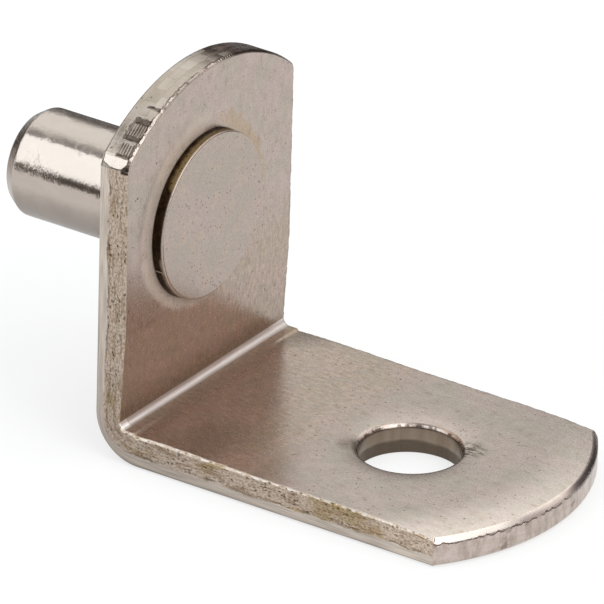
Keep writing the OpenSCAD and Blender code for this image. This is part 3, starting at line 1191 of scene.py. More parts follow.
def plain_plate(tree, flat):
    """The plate without stains: its colour, and the grain, blotches and pits that went into it. Streaks are
    left by rolling, and flecks are pits that the plate has almost filled."""
    mottle = patches(tree, flat, 0.5, 0.38, 0.62)
    grain = cloud(tree, flat, 11.0, stretch=(0.8, 1, 1), roughness=0.75)
    blotch = cloud(tree, flat, 2.0, stretch=(0.7, 1, 1))
    streaks = patches(tree, flat, 4.0, 0.52, 0.62, detail=4.0, stretch=(0.25, 1, 1), roughness=0.75)
    pits = pitted(tree, flat, patches(tree, flat, 0.5, 0.46, 0.62, 0.04, 0.38, detail=2.0), 0.13)
    flecks = specks(tree, scaled(tree, flat, (0.6, 1, 1)), 2.6, 0.13, 0.5)
    colour = shaded(
        tree, blend(tree, mottle, OLIVE_PLATE, PINK_PLATE),
        (1.0, grey(tree, ease(tree, grain, 0.25, 0.75, 0.84, 1.13))),
        (1.0, grey(tree, ease(tree, blotch, 0.3, 0.7, 0.94, 1.05))),
        (streaks, ROLLED_TINT),
        (times(tree, pits, 0.7), PIT_TINT),
        (times(tree, flecks, 0.5), FLECK_TINT))
    return colour, grain, blotch, pits


print("plate: olive", OLIVE_PLATE[:3], "to pink", PINK_PLATE[:3])

# %% [markdown]
# Dirt gathers beside the pin's head, where nobody can wipe it off: an ochre stain on the far side. The black
# in the corner under the head is painted shade. On the near side, polishing paste has dried to a dull film.
# It is thin, but it matters: without it the plate would mirror the head's dark side as a second dark band.
# All of them follow the distance from the pin's axis, pushed about by noise.

# %% Marks round the head
FILM_LOW_END = (-3.6, -0.8)
OCHRE_TINT = (1.0, 0.90, 0.72, 1)
# Painted shade in the corner under the head.
CORNER_SHADE_TINT = (0.24, 0.19, 0.15, 1)
FILM_TINT = (1.10, 1.08, 1.05, 1)


def from_pin_axis(tree, y, z):
    """How far a point is from the pin's axis."""
    return distance(tree, vector_of(tree, y, z), (0, 0, 0))


def dull_film(tree, place):
    """How thick the dull film is: a band round the head on the near half of the inner face, which reaches
    less far out at its low end."""
    x, y, z = parts_of(tree, place)
    reach = plus(tree, from_pin_axis(tree, y, z), ease(tree, z, *FILM_LOW_END, 0.35, 0.0))
    on_inner_face = times(tree, maths(tree, "GREATER_THAN", x, 0.5 * SHEET_T),
                          maths(tree, "LESS_THAN", x, HEAD_FACE_X))
    return times(tree, fade(tree, reach, HEAD_R + 0.65, HEAD_R + 1.15), fade(tree, y, -0.5, 1.5),
                 on_inner_face)


def head_marks(tree, y, z, blotch, on_wall_leg):
    """The ochre stain beside the head and the painted shade in the corner under it, as marks."""
    from_axis = from_pin_axis(tree, y, z)
    wavy = plus(tree, from_axis, ease(tree, blotch, 0.3, 0.7, -0.25, 0.25))
    stain = within(tree, wavy, HEAD_R + 0.1, HEAD_R + 0.6, 0.35)
    # The second mark is painted shade in the corner under the head.
    return [
        (times(tree, stain, ease(tree, y, 0.5, 2.5), on_wall_leg, 0.8), OCHRE_TINT),
        (times(tree, fade(tree, from_axis, HEAD_R, HEAD_R + 0.07), on_wall_leg, 0.85), CORNER_SHADE_TINT)]


print("the film reaches", round(HEAD_R + 1.15, 2), "mm from the pin's axis")

# %% [markdown]
# Bending thins the plate, and rust then shows through as a brown haze on both legs. The haze is partly
# painted shade too, where each leg mirrors the other near the bend. It is darkest right at the fold, on the
# shelf leg most of all: painted shade in the bend's inner corner. The slope at the tip is painted lighter, a
# painted highlight, and the fold itself is a narrow bright line, also a painted highlight, which the press
# pushed a little inwards. All of these depend on the run u, so they cross the bend as the grain does.

# %% Stains, painted shade and a painted highlight towards the bend
FOLD_U = -strip_low[2] - SQUEEZE_X - SQUEEZE_Z
HAZE_RUN = (5.6, 15.5)
HAZE_FADE = 3.5
# The haze: rust, and painted shade where the legs mirror each other near the bend.
SHADED_HAZE_DARK, SHADED_HAZE_LIGHT = (0.88, 0.85, 0.82, 1), (1.11, 1.06, 1.00, 1)
SHADED_HAZE_BLOTCH_TINT = (0.93, 0.90, 0.86, 1)
# Painted shade in the bend's inner corner, by the fold.
FOLD_SHADE_TINT = (0.80, 0.765, 0.72, 1)
GREY_SPOT = (5.3, -3.6, hole_z)
GREY_SPOT_TINT = (0.76, 0.80, 0.80, 1)
SLOPE_CENTRE = (strip_high[0] - TIP_R, MIDDLE_Y, hole_z)
# A painted highlight on the slope at the tip.
SLOPE_HIGHLIGHT_TINT = (1.42, 1.45, 1.47, 1)


def leg_marks(tree, place, u, blotch, speckle, by_fold):
    """The haze towards the bend, partly rust and partly painted shade, the painted shade in the corner by the
    fold, a greyer spot on the shelf leg and the painted highlight on the slope at the tip, as marks."""
    x = parts_of(tree, place)[0]
    haze = within(tree, u, *HAZE_RUN, HAZE_FADE)
    into_slope = ease(tree, distance(tree, place, SLOPE_CENTRE), TIP_R - TIP_SLOPE_RUN, TIP_R)
    # Painted shade in the haze and by the fold, and a painted highlight on the slope.
    return [
        (haze, blend(tree, speckle, SHADED_HAZE_DARK, SHADED_HAZE_LIGHT)),
        (fade(tree, by_fold, 0.4, 2.0), FOLD_SHADE_TINT),
        (fade(tree, distance(tree, place, GREY_SPOT), 0.3, 2.4), GREY_SPOT_TINT),
        (times(tree, into_slope, ease(tree, x, 14.0, 15.0)), SLOPE_HIGHLIGHT_TINT),
        (times(tree, haze, ease(tree, blotch, 0.45, 0.65)), SHADED_HAZE_BLOTCH_TINT)]


print("the fold lies at a run of", round(FOLD_U, 2), "mm")


# %% Painted highlight along the fold
FOLD_BACK, FOLD_AHEAD = 0.30, 0.24
# The fold's line is a painted highlight, lighter than the plate.
FOLD_HIGHLIGHT_DULL, FOLD_HIGHLIGHT_BRIGHT = (0.58, 0.53, 0.50, 1), (0.70, 0.64, 0.61, 1)
FOLD_END_HIGHLIGHT = (0.95, 0.91, 0.88, 1)
FOLD_HIGHLIGHT_LOW_TINT = (0.62, 0.60, 0.58, 1)


def fold_highlight(tree, flat, u, y):
    """Where the fold's bright line is, and its colour, a painted highlight: lines along it, a bright near
    end, and a darker lower half."""
    lines = patches(tree, flat, 1.0, 0.35, 0.6, detail=2.0, stretch=(14, 0.5, 1))
    colour = blend(tree, lines, FOLD_HIGHLIGHT_DULL, FOLD_HIGHLIGHT_BRIGHT)
    near_end = fade(tree, y, strip_low[1] + 0.55, strip_low[1] + 0.65)
    colour = blend(tree, near_end, colour, FOLD_END_HIGHLIGHT)
    colour = shaded(tree, colour, (ease(tree, u, FOLD_U - 0.05, FOLD_U + 0.2), FOLD_HIGHLIGHT_LOW_TINT))
    return within(tree, u, FOLD_U - FOLD_BACK, FOLD_U + FOLD_AHEAD, 0.05), colour


print("its polished line is", round(FOLD_BACK + FOLD_AHEAD, 2), "mm wide")

# %% [markdown]
# Two marks lie beside the screw hole: a smudge on one side, and a fan of black scratches on the other, where
# a tool has slipped. Each is a soft round spot about a point near the hole, and stretched noise breaks the
# second one up. The far edge has lost its plate in places.

# %% Marks by the screw hole and the far edge
SHELF_Z = strip_low[2] + SHEET_T
SMUDGE = (hole_x - 2.3, hole_y - 1.3, SHELF_Z)
SMUDGE_TINT = (0.45, 0.40, 0.37, 1)
SCRATCHED = (hole_x + 2.25, hole_y + 1.3, SHELF_Z)
SCRATCH_TINT = (0.20, 0.165, 0.14, 1)
FAR_EDGE_TINT = (0.30, 0.26, 0.23, 1)


def far_edge_mark(tree, flat, y):
    """Dark metal where the plate has gone from the far edge, as a mark."""
    gone = patches(tree, flat, 1.2, 0.40, 0.52, detail=4.0, roughness=0.7)
    return times(tree, ease(tree, y, strip_high[1] - 0.20, strip_high[1] - 0.09), gone), FAR_EDGE_TINT


def hole_marks(tree, place, flat, speckle):
    """The smudge and the scratches beside the screw hole, as marks."""
    smudge = fade(tree, distance(tree, place, SMUDGE), 0.15, 0.85)
    scratches = patches(tree, flat, 3.0, 0.44, 0.56, stretch=(0.6, 2.2, 1), roughness=0.7)
    return [
        (times(tree, smudge, ease(tree, speckle, 0, 1, 0.5, 1.0)), SMUDGE_TINT),
        (times(tree, scratches, fade(tree, distance(tree, place, SCRATCHED), 0.30, 1.10)), SCRATCH_TINT)]


print("smudge at x", round(SMUDGE[0], 2), "and scratches at x", round(SCRATCHED[0], 2), "mm")


# %% Finish of the faces
def face_finish(tree, place):
    """The faces' colour, roughness and height. The two faces share one pattern, FACES_APART from each other
    in it."""
    x, y, z = parts_of(tree, place)
    u = minus(tree, x, z)
    flat = vector_of(tree, u, y, times(tree, attribute(tree, "depth"), FACES_APART))
    colour, grain, blotch, pits = plain_plate(tree, flat)
    speckle = patches(tree, flat, 5.0, 0.42, 0.62, detail=4.0, stretch=(0.5, 1, 1), roughness=0.75)
    past_fold = minus(tree, u, FOLD_U)
    by_fold = larger(tree, past_fold, times(tree, past_fold, -2.0))
    on_wall_leg = times(tree, fade(tree, u, 4.5, 6.0), fade(tree, attribute(tree, "depth"), 0.3, 0.6))
    dulled = times(tree, dull_film(tree, place), on_wall_leg)

    colour = shaded(tree, colour, *head_marks(tree, y, z, blotch, on_wall_leg), (dulled, FILM_TINT),
                    *leg_marks(tree, place, u, blotch, speckle, by_fold))
    # The fold's bright line is a painted highlight.
    in_fold, fold_highlight_colour = fold_highlight(tree, flat, u, y)
    colour = blend(tree, in_fold, colour, fold_highlight_colour)
    colour = shaded(tree, colour, far_edge_mark(tree, flat, y), *hole_marks(tree, place, flat, speckle))

    roughness = ease(tree, grain, 0.25, 0.75, 0.20, 0.28)
    for dull, by in ((pits, 0.2), (dulled, 0.22), (fade(tree, by_fold, 0.4, 1.5), 0.2)):
        roughness = plus(tree, roughness, times(tree, dull, by))
    return colour, roughness, satin_height(tree, grain, pits)


print("the two faces are", FACES_APART, "mm apart in the pattern")

# %% [markdown]
# ### The cut edges of the strip
#
# Next to the outer face the punch sheared the sides smooth, with fine lines along the cut. Towards the inner
# face the steel tore, which left pits and dark grit, and olive stains here and there. One stain of old oil
# sits half way along the shelf leg. The two bands could be two materials, but their border is ragged, so it
# is noise in one material that parts them.

# %% Sides of the strip
SMOOTH_DARK, SMOOTH_LIGHT = (0.38, 0.33, 0.285, 1), (0.55, 0.482, 0.42, 1)
TORN_DARK, TORN_LIGHT = (0.28, 0.222, 0.168, 1), (0.56, 0.462, 0.385, 1)
RIDGE_TINT = (0.70, 0.64, 0.57, 1)
DARK_PIT_TINT = (0.24, 0.20, 0.17, 1)


def smooth_band(tree, cut):
    """The sheared band: its colour, and the fine lines along it."""
    lines = cloud(tree, cut, 1.0, 2.0, (0.5, 14, 1))
    return blend(tree, ease(tree, lines, 0.3, 0.7), SMOOTH_DARK, SMOOTH_LIGHT), lines


def torn_band(tree, cut):
    """The torn band: its colour, and its relief of grit and pits."""
    grit = cloud(tree, cut, 11.0, stretch=(0.6, 1, 1), roughness=0.75)
    ridges = patches(tree, cut, 2.2, 0.50, 0.60, stretch=(0.35, 2.2, 1), roughness=0.65)
    crowding = patches(tree, cut, 0.8, 0.40, 0.60, 0.25, 0.85, detail=2.0)
    pits = specks(tree, scaled(tree, cut, (0.6, 1, 1)), 6.0, 0.055, crowding)
    colour = shaded(tree, blend(tree, ease(tree, grit, 0.36, 0.60), TORN_DARK, TORN_LIGHT),
                    (ridges, RIDGE_TINT), (times(tree, pits, 0.85), DARK_PIT_TINT))
    return colour, minus(tree, times(tree, grit, 1.3), times(tree, pits, 2.0))


print("torn steel:", TORN_DARK[:3], "to", TORN_LIGHT[:3])


# %% Marks on the sides
OIL_X = 13.2
OIL_ALONG = BEND_END + OIL_X - BEND_OUT_R - side_starts
OLIVE_TINT = (0.85, 0.79, 0.64, 1)
OIL_TINT = (0.78, 0.74, 0.58, 1)
# Painted shade along the shelf leg's outer edge, next to the table.
OUTER_EDGE_SHADE_TINT = (0.55, 0.52, 0.49, 1)
# Painted shade in the notch under the facet.
NOTCH_SHADE_TINT = (0.10, 0.08, 0.07, 1)
SEAM_TINT = (0.35, 0.30, 0.24, 1)


def side_marks(tree, cut, along, depth, border, torn, on_shelf_leg):
    """The stains, the level of light and dark along the cut, painted shade on the shelf leg's outer edge and
    in the notch under the facet, and the seam between the two bands, as marks."""
    olive = patches(tree, cut, 0.45, 0.55, 0.64, stretch=(1, 2.5, 1))
    oil = times(tree, within(tree, along, OIL_ALONG - 1.3, OIL_ALONG + 0.9, 0.9),
                patches(tree, cut, 1.2, 0.36, 0.52, stretch=(0.6, 1.5, 1)), torn)
    level = ease(tree, larger(tree, torn, on_shelf_leg), 0, 1, 1.14, 1.02)
    level = ease(tree, along, OIL_ALONG + 1.6, OIL_ALONG + 2.8, level, 1.16)
    notch = times(tree, within(tree, along, 0.10, 0.40, 0.06), fade(tree, depth, 0.20, 0.27))
    seam = times(tree, within(tree, border, 0.61, 0.64, 0.03), patches(tree, cut, 0.8, 0.46, 0.6, detail=2.0))
    return [
        (times(tree, olive, torn), OLIVE_TINT),
        (oil, OIL_TINT),
        (1.0, grey(tree, level)),
        # Painted shade on the shelf leg's outer edge and in the notch.
        (times(tree, on_shelf_leg, ease(tree, depth, 0.88, 0.94)), OUTER_EDGE_SHADE_TINT),
        (notch, NOTCH_SHADE_TINT),
        (times(tree, seam, 0.7), SEAM_TINT)]


print("oil stain", round(OIL_ALONG, 1), "mm along the near side")


# %% Finish of the sides
# The burr's light colour is a painted glint.
BURR_GLINT_COLOUR = (0.54, 0.48, 0.43, 1)


def sheared(tree, cut, along, depth):
    """The sides: colour, roughness and height of the smooth band and the torn one, and of the burr along the
    shelf leg, whose bright colour is a painted glint."""
    border = plus(tree, depth, patches(tree, cut, 1.6, 0.3, 0.7, -0.05, 0.05))
    torn = fade(tree, border, 0.60, 0.66)
    on_shelf_leg = ease(tree, along, BEND_START - side_starts, BEND_END - side_starts)
    smooth_colour, lines = smooth_band(tree, cut)
    torn_colour, torn_height = torn_band(tree, cut)
    colour = blend(tree, torn, smooth_colour, torn_colour)
    colour = shaded(tree, colour, *side_marks(tree, cut, along, depth, border, torn, on_shelf_leg))
    # The burr along the shelf leg is painted bright, a painted glint.
    burr = times(tree, fade(tree, border, 0.02, 0.05), patches(tree, cut, 2.5, 0.40, 0.47), on_shelf_leg)
    colour = blend(tree, burr, colour, BURR_GLINT_COLOUR)
    height = plus(tree, times(tree, torn, torn_height), times(tree, lines, 0.5))
    return colour, ease(tree, torn, 0, 1, 0.24, 0.40), height


print("burr along the shelf leg:", BURR_GLINT_COLOUR[:3])

# %% [markdown]
# The crown is smoother and paler, because the punch that cut it was worn: it left the plate in blocks, like
# scales. By the near corner the tool chewed the edge. There are dark bands across it, and a comb of close
# lines through the thickness. The bands were made by single blows, so each has its own place in a short
# table, and one wave makes the comb.

# %% Chewed patches
CHEWED_BANDS = ((-0.42, -0.28, 0.60), (-1.42, -1.16, 0.66), (-2.40, -2.06, 0.62), (-3.12, -3.02, 0.56))
COMB_PITCH = 0.092
COMB_LEAN = 0.03


def chewed_patches(tree, cut, along, depth):
    """How dark the tool's marks by the near corner are: bands across the edge, and between them fine lines
    along it, as deep into the sheet as each band says."""
    wobble = patches(tree, cut, 4.0, 0.25, 0.75, -0.05, 0.05)
    wavy, deep = plus(tree, along, wobble), plus(tree, depth, wobble)
    dark = times(tree, within(tree, wavy, -2.2, -1.2, 0.1), within(tree, deep, 0.56, 0.64, 0.03), 0.8)
    for first, last, reach in CHEWED_BANDS:
        band = times(tree, within(tree, wavy, first, last, 0.05), fade(tree, deep, reach - 0.05, reach))
        dark = larger(tree, dark, band)
    leaning = plus(tree, depth, times(tree, along, COMB_LEAN))
    waves = maths(tree, "SINE", times(tree, leaning, 2 * pi / COMB_PITCH))
    comb = times(tree, ease(tree, waves, -0.5, 0.5, 0.2, 0.9), within(tree, along, -2.3, -0.3, 0.08),
                 fade(tree, deep, 0.54, 0.60), patches(tree, cut, 2.0, 0.35, 0.6, 0.6, 1.0, detail=2.0))
    gap = within(tree, wavy, -1.12, -1.02, 0.03)
    comb = times(tree, comb, minus(tree, 1.0, gap))
    streaky = patches(tree, cut, 5.0, 0.36, 0.56, 1.0, 0.72, stretch=(2.2, 0.5, 1), roughness=0.7)
    return larger(tree, times(tree, dark, streaky), comb)


print(len(CHEWED_BANDS), "chewed bands")

# %% [markdown]
# The cut-off corner is the brightest spot on the whole strip. Its shiny part is straight above and round
# below, with a dark rim and a dark notch beside it. The mesh has the flat facet, and the material draws its
# worn shape as a change of polish and a lighter colour, a painted highlight; the notch is painted shade.

# %% Facet
FACET_HALF = 0.2
FACET_MIDDLE = 0.40
FACET_REACHES = (0.62, 0.31)


def facet_shape(tree, cut, along, depth):
    """The shiny part of the cut-off corner, where a highlight is painted, and its dark rim and the notch's
    painted shade. A point is in the shiny part where its two shares of the way to the edge, across and down,
    have squares that add up to less than 1: half an oval, lower and blunter towards the inner face."""
    to_outer = times(tree, minus(tree, depth, FACET_MIDDLE), 1 / FACET_REACHES[0])
    to_inner = times(tree, minus(tree, FACET_MIDDLE, depth), 1 / FACET_REACHES[1])
    aside = larger(tree, to_outer, to_inner)
    down = times(tree, plus(tree, along, FACET_HALF + 0.04), 1 / (2 * FACET_HALF + 0.10))
    ragged = patches(tree, cut, 5.0, 0.3, 0.7, -0.06, 0.06)
    reach = plus(tree, plus(tree, times(tree, aside, aside), times(tree, down, down)), ragged)
    low = maths(tree, "GREATER_THAN", down, 0.0)
    shiny = times(tree, fade(tree, reach, 0.92, 1.0), low)
    rim = times(tree, within(tree, reach, 1.0, 1.10, 0.06), low,
                patches(tree, cut, 4.0, 0.42, 0.52, detail=2.0))
    notch = times(tree, within(tree, along, -0.02, 0.26, 0.05), fade(tree, depth, 0.24, 0.30),
                  ease(tree, reach, 1.0, 1.1))
    return shiny, larger(tree, rim, notch)


print("facet", 2 * FACET_HALF, "mm long")


# %% Crown's plate and bevel
CROWN_DARK, CROWN_LIGHT = (0.40, 0.353, 0.305, 1), (0.46, 0.405, 0.362, 1)
BLOCK_DARK, BLOCK_LIGHT = (0.84, 0.80, 0.76, 1), (1.10, 1.09, 1.08, 1)
BLOCK_JOINT = (0.72, 0.66, 0.60, 1)
BLOCK_LENGTH, BLOCK_HEIGHT = 0.85, 0.55
BEVEL_BRIGHT, BEVEL_WORN = (0.46, 0.405, 0.365, 1), (0.18, 0.15, 0.13, 1)
BEVEL_BROKEN = (0.045, 0.033, 0.028, 1)
TEETH_PITCH = 0.17


def crown_blocks(tree, cut, warp):
    """The plate's blocks: two shades laid like bricks along the cut, on a pattern that is pushed about by
    warp."""
    pushed = add_node(tree, "ShaderNodeVectorMath", {0: cut, 1: vector_of(tree, warp, warp)}, operation="ADD")
    return add_node(tree, "ShaderNodeTexBrick", {
        "Vector": pushed.outputs[0], "Scale": 1.0, "Color1": BLOCK_DARK, "Color2": BLOCK_LIGHT,
        "Mortar": BLOCK_JOINT, "Mortar Size": 0.022, "Mortar Smooth": 0.9, "Bias": 0.1,
        "Brick Width": BLOCK_LENGTH, "Row Height": BLOCK_HEIGHT}).outputs["Color"]


def bevel_colour(tree, cut, along, warp):
    """The sharp bevel along the crown's inner edge: bright and worn in places, then broken into teeth by a
    wave, and dark past them."""
    waves = maths(tree, "SINE", times(tree, plus(tree, along, times(tree, warp, 0.4)), 2 * pi / TEETH_PITCH))
    broken = fade(tree, plus(tree, along, times(tree, waves, 0.7)), -8.3, -7.9)
    worn = patches(tree, cut, 2.2, 0.50, 0.60, stretch=(1, 0.3, 1), roughness=0.7)
    return blend(tree, broken, blend(tree, worn, BEVEL_BRIGHT, BEVEL_WORN), BEVEL_BROKEN)


print("blocks", BLOCK_LENGTH, "x", BLOCK_HEIGHT, "mm")


# %% Crown of the strip
TOP_STREAK_TINT = (0.19, 0.13, 0.105, 1)
TOP_TINT = (0.50, 0.37, 0.30, 1)
CHEWED_TINT = (0.12, 0.09, 0.08, 1)
UNDER_BEVEL_TINT = (0.25, 0.20, 0.18, 1)
# The facet's light colour is a painted highlight.
CORNER_COLOUR, FACET_HIGHLIGHT_COLOUR = (0.17, 0.15, 0.135, 1), (0.52, 0.45, 0.41, 1)
# A dark rim round the facet, and painted shade in the notch.
FACET_RIM_TINT = (0.13, 0.10, 0.085, 1)


def crown_cut(tree, cut, along, depth):
    """The crown: pale plate in blocks, a chewed patch near the corner, a dark top whose border follows the
    blocks, the bevel along the inner edge, and the facet."""
    waves = cloud(tree, cut, 1.1, stretch=(1, 1.6, 1))
    warp = patches(tree, cut, 1.3, 0.25, 0.75, -0.06, 0.06)
    blocks = crown_blocks(tree, cut, warp)
    streaks = patches(tree, cut, 1.5, 0.44, 0.54, stretch=(0.7, 3.2, 1), roughness=0.7)
    by_block = plus(tree, along, ease(tree, parts_of(tree, blocks)[0], 0.84, 1.10, -0.8, 0.8))
    top = within(tree, by_block, -10.5, -9.0, 2.0)
    chewed = chewed_patches(tree, cut, along, depth)
    pits = times(tree, within(tree, along, -3.6, -0.3, 0.5), ease(tree, depth, 0.55, 0.68),
                 specks(tree, cut, 4.2, 0.08, 0.85))
    edge = plus(tree, depth, patches(tree, cut, 5.0, 0.3, 0.7, -0.02, 0.02, stretch=(1, 0.3, 1)))
    under = times(tree, within(tree, edge, 0.07, 0.10, 0.02), patches(tree, cut, 2.0, 0.36, 0.50, detail=2.0))
    colour = shaded(
        tree, blend(tree, ease(tree, waves, 0.35, 0.65), CROWN_DARK, CROWN_LIGHT),
        (patches(tree, cut, 0.9, 0.34, 0.48, detail=2.0), blocks),
        (times(tree, top, streaks), TOP_STREAK_TINT),
        (top, TOP_TINT),
        (chewed, CHEWED_TINT),
        (times(tree, pits, 0.85), DARK_PIT_TINT),
        (times(tree, under, 0.85), UNDER_BEVEL_TINT))
    colour = blend(tree, fade(tree, edge, 0.055, 0.07), colour, bevel_colour(tree, cut, along, warp))

    # The facet's shiny part is a painted highlight in a lighter colour, and the notch beside it is painted
    # shade.
    shiny, dark = facet_shape(tree, cut, along, depth)
    corner = ease(tree, along, -FACET_HALF - 0.06, -FACET_HALF - 0.03)
    colour = blend(tree, corner, colour, CORNER_COLOUR)
    colour = blend(tree, shiny, colour, FACET_HIGHLIGHT_COLOUR)
    colour = shaded(tree, colour, (times(tree, dark, 0.9), FACET_RIM_TINT))
    roughness = plus(tree, ease(tree, waves, 0.3, 0.7, 0.24, 0.34), times(tree, chewed, 0.1))
    roughness = minus(tree, roughness, times(tree, shiny, 0.14))
    height = minus(tree, times(tree, waves, 1.2), times(tree, chewed, 2.0))
    return colour, roughness, minus(tree, height, times(tree, pits, 1.5))


print("crown", round(perimeter - far_crown_corner, 1), "mm along the cut")

# %% [markdown]
# The tip is clean below its rolled edge, with soft streaks drawn down it by the die, and a ragged dark line
# parts the two: painted shade in the crease where the roll ends. The roll is bright up to past its middle
# and dark from there on, a painted reflection that is put in the colour. The screw hole's wall is brown,
# with streaks down it, and darker in its torn lower part: partly grime and partly painted shade inside the
# hole. Its mouth has a painted highlight behind and painted shade in front.

# %% Tip of the strip
TIP_DARK, TIP_LIGHT = (0.45, 0.385, 0.345, 1), (0.52, 0.445, 0.41, 1)
DRAWN_DARK, DRAWN_LIGHT = (0.87, 0.84, 0.81, 1), (1.14, 1.14, 1.13, 1)
# Painted shade in the crease where the roll ends.
TIP_CREASE_SHADE_TINT = (0.16, 0.13, 0.12, 1)
TIP_STAIN_TINT = (0.50, 0.45, 0.42, 1)
# The roll's dark colour is a painted reflection.
ROLL_BRIGHT, ROLL_DARK = (0.50, 0.44, 0.40, 1), (0.15, 0.125, 0.115, 1)
ROLL_DARKENS = np.interp([0.52, 0.66], [0, 1], [near_tip_corner, far_tip_corner])


def tip_cut(tree, cut, along, depth):
    """The tip's colour, roughness and height, with painted shade in the crease under the roll and a painted
    dark reflection on the roll's far part.
    """
    lines = cloud(tree, cut, 1.2, stretch=(0.6, 3.0, 1))
    level = plus(tree, depth, patches(tree, cut, 3.0, 0.3, 0.7, -0.035, 0.035, stretch=(1, 0.2, 1)))
    line = times(tree, within(tree, level, 0.16, 0.195, 0.02),
                 patches(tree, cut, 1.3, 0.34, 0.46, detail=2.0))
    drawn = patches(tree, cut, 2.3, 0.38, 0.62, detail=4.0, stretch=(1, 0.3, 1), roughness=0.7)
    stain = patches(tree, cut, 1.5, 0.60, 0.68, stretch=(0.7, 1, 1))
    colour = shaded(
        tree, blend(tree, ease(tree, lines, 0.35, 0.65), TIP_DARK, TIP_LIGHT),
        (times(tree, line, 0.9), TIP_CREASE_SHADE_TINT),
        (1.0, blend(tree, drawn, DRAWN_DARK, DRAWN_LIGHT)),
        (times(tree, stain, 0.6), TIP_STAIN_TINT))
    # Past its middle the roll is painted dark, a painted reflection.
    late = ease(tree, along, *ROLL_DARKENS)
    rolled = fade(tree, minus(tree, level, times(tree, late, 0.09)), 0.14, 0.17)
    colour = blend(tree, rolled, colour, blend(tree, late, ROLL_BRIGHT, ROLL_DARK))
    height = minus(tree, times(tree, lines, 0.8), times(tree, line, 3.0))
    return colour, ease(tree, lines, 0.3, 0.7, 0.2, 0.3), height


print("the roll darkens at", ROLL_DARKENS.round(1), "mm along the cut")


# %% Wall of the screw hole
HOLE_FRONT = (0.45 / HOLE_R, -0.89 / HOLE_R, 0)
# The wall's dark brown: partly grime, partly painted shade inside the hole.
HOLE_SHADED_DARK, HOLE_SHADED_LIGHT = (0.215, 0.165, 0.122, 1), (0.262, 0.208, 0.158, 1)
HOLE_LOW_SHADE_TINT = (0.27, 0.24, 0.19, 1)
# A painted highlight behind the mouth and painted shade in front of it.
MOUTH_HIGHLIGHT, MOUTH_SHADE = (0.50, 0.425, 0.385, 1), (0.11, 0.09, 0.075, 1)
CHIP_TINT = (0.17, 0.14, 0.12, 1)


def hole_cut(tree, place, cut, depth):
    """The screw hole's wall: colour, roughness and height. Its brown is partly grime and partly painted shade
    inside the hole, darker low down. Its mouth has a painted highlight behind and painted shade in front,
    where front is the direction HOLE_FRONT from its centre, as shares of its radius."""
    centre = (hole_x, hole_y, 0)
    from_centre = add_node(tree, "ShaderNodeVectorMath", {0: place, 1: centre}, operation="SUBTRACT")
    front = ease(tree, along_line(tree, from_centre.outputs[0], HOLE_FRONT), 0.1, 0.6)
    streaks = cloud(tree, cut, 2.0, 2.0, (1, 0.12, 1))
    upper = blend(tree, ease(tree, streaks, 0.35, 0.65), HOLE_SHADED_DARK, HOLE_SHADED_LIGHT)
    border = plus(tree, depth, patches(tree, cut, 0.6, 0.3, 0.7, -0.03, 0.03, detail=2.0))
    low = ease(tree, border, 0.50, 0.66)
    mouth = fade(tree, depth, 0.05, 0.14)
    chips = times(tree, patches(tree, cut, 2.6, 0.50, 0.55, stretch=(1, 0.5, 1)), mouth)
    # Darker low down, partly painted shade.
    colour = blend(tree, low, upper, shaded(tree, upper, (1.0, HOLE_LOW_SHADE_TINT)))
    # The mouth: painted highlight behind, painted shade in front.
    colour = blend(tree, mouth, colour, blend(tree, front, MOUTH_HIGHLIGHT, MOUTH_SHADE))
    colour = shaded(tree, colour, (chips, CHIP_TINT))
    return colour, ease(tree, low, 0, 1, 0.3, 0.4), streaks


print("the front of the mouth faces", np.round(HOLE_FRONT[:2], 2))

# %% [markdown]
# One material covers the whole strip. Five materials would meet in hard lines. In one, the sides' finish
# comes first, and the crown's, the tip's, the bore's and the faces' are laid over it, each where the mesh's
# own values say that it belongs, with a soft border.

# %% Strip finish
FILM_METAL = 0.25


def strip_nickel():
    """The strip's finish. The film beside the head is paste, so the surface is mostly not metal there."""
    material, tree = new_metal("strip_nickel")
    place = object_place(tree)
    along, depth = attribute(tree, "along"), attribute(tree, "depth")
    cut = vector_of(tree, along, times(tree, depth, SHEET_T), 0.0)
    on_face = fade(tree, attribute(tree, "cut"), 0, 1)
    finish = sheared(tree, cut, along, depth)
    layers = [
        (attribute(tree, "crown"), crown_cut(tree, cut, along, depth)),
        (attribute(tree, "tip"), tip_cut(tree, cut, along, depth)),
        (attribute(tree, "bore"), hole_cut(tree, place, cut, depth)),
        (on_face, face_finish(tree, place))]
    for share, layer in layers:
        colour = blend(tree, share, finish[0], layer[0])
        values = [ease(tree, share, 0, 1, below, above) for below, above in zip(finish[1:], layer[1:])]
        finish = (colour, *values)
    film = times(tree, dull_film(tree, place), on_face)
    finish_metal(material, *finish, ease(tree, film, 0, 1, 1.0, FILM_METAL))
    return material


strip.data.materials.append(strip_nickel())
print("strip finish has", len(strip.data.materials[0].node_tree.nodes), "nodes")

# %% [markdown]
# ### The pin
#
# The pin was turned, so its marks run round it: fine rings that fray the edges of its reflections, and a few
# marks along it from handling. Its head is satin like the strip's faces, and the head's side is black-brown
# next to the strip, partly dried grime and partly painted shade. Places on it are the object's own,
# stretched along the axis where a mark runs round.

# %% Side of the head
NICK_SLOPE = 0.4
# Grime and painted shade on the head's side, next to the strip.
SIDE_GRIME_SHADE_DARK, SIDE_GRIME_SHADE_LIGHT = (0.018, 0.011, 0.006, 1), (0.042, 0.024, 0.012, 1)
STAIN_LOW, STAIN_HIGH = (0.40, 0.34, 0.27, 1), (0.24, 0.18, 0.09, 1)
STAIN_SPECK_TINT = (0.3, 0.24, 0.18, 1)
NICK_COLOUR = (0.50, 0.42, 0.34, 1)


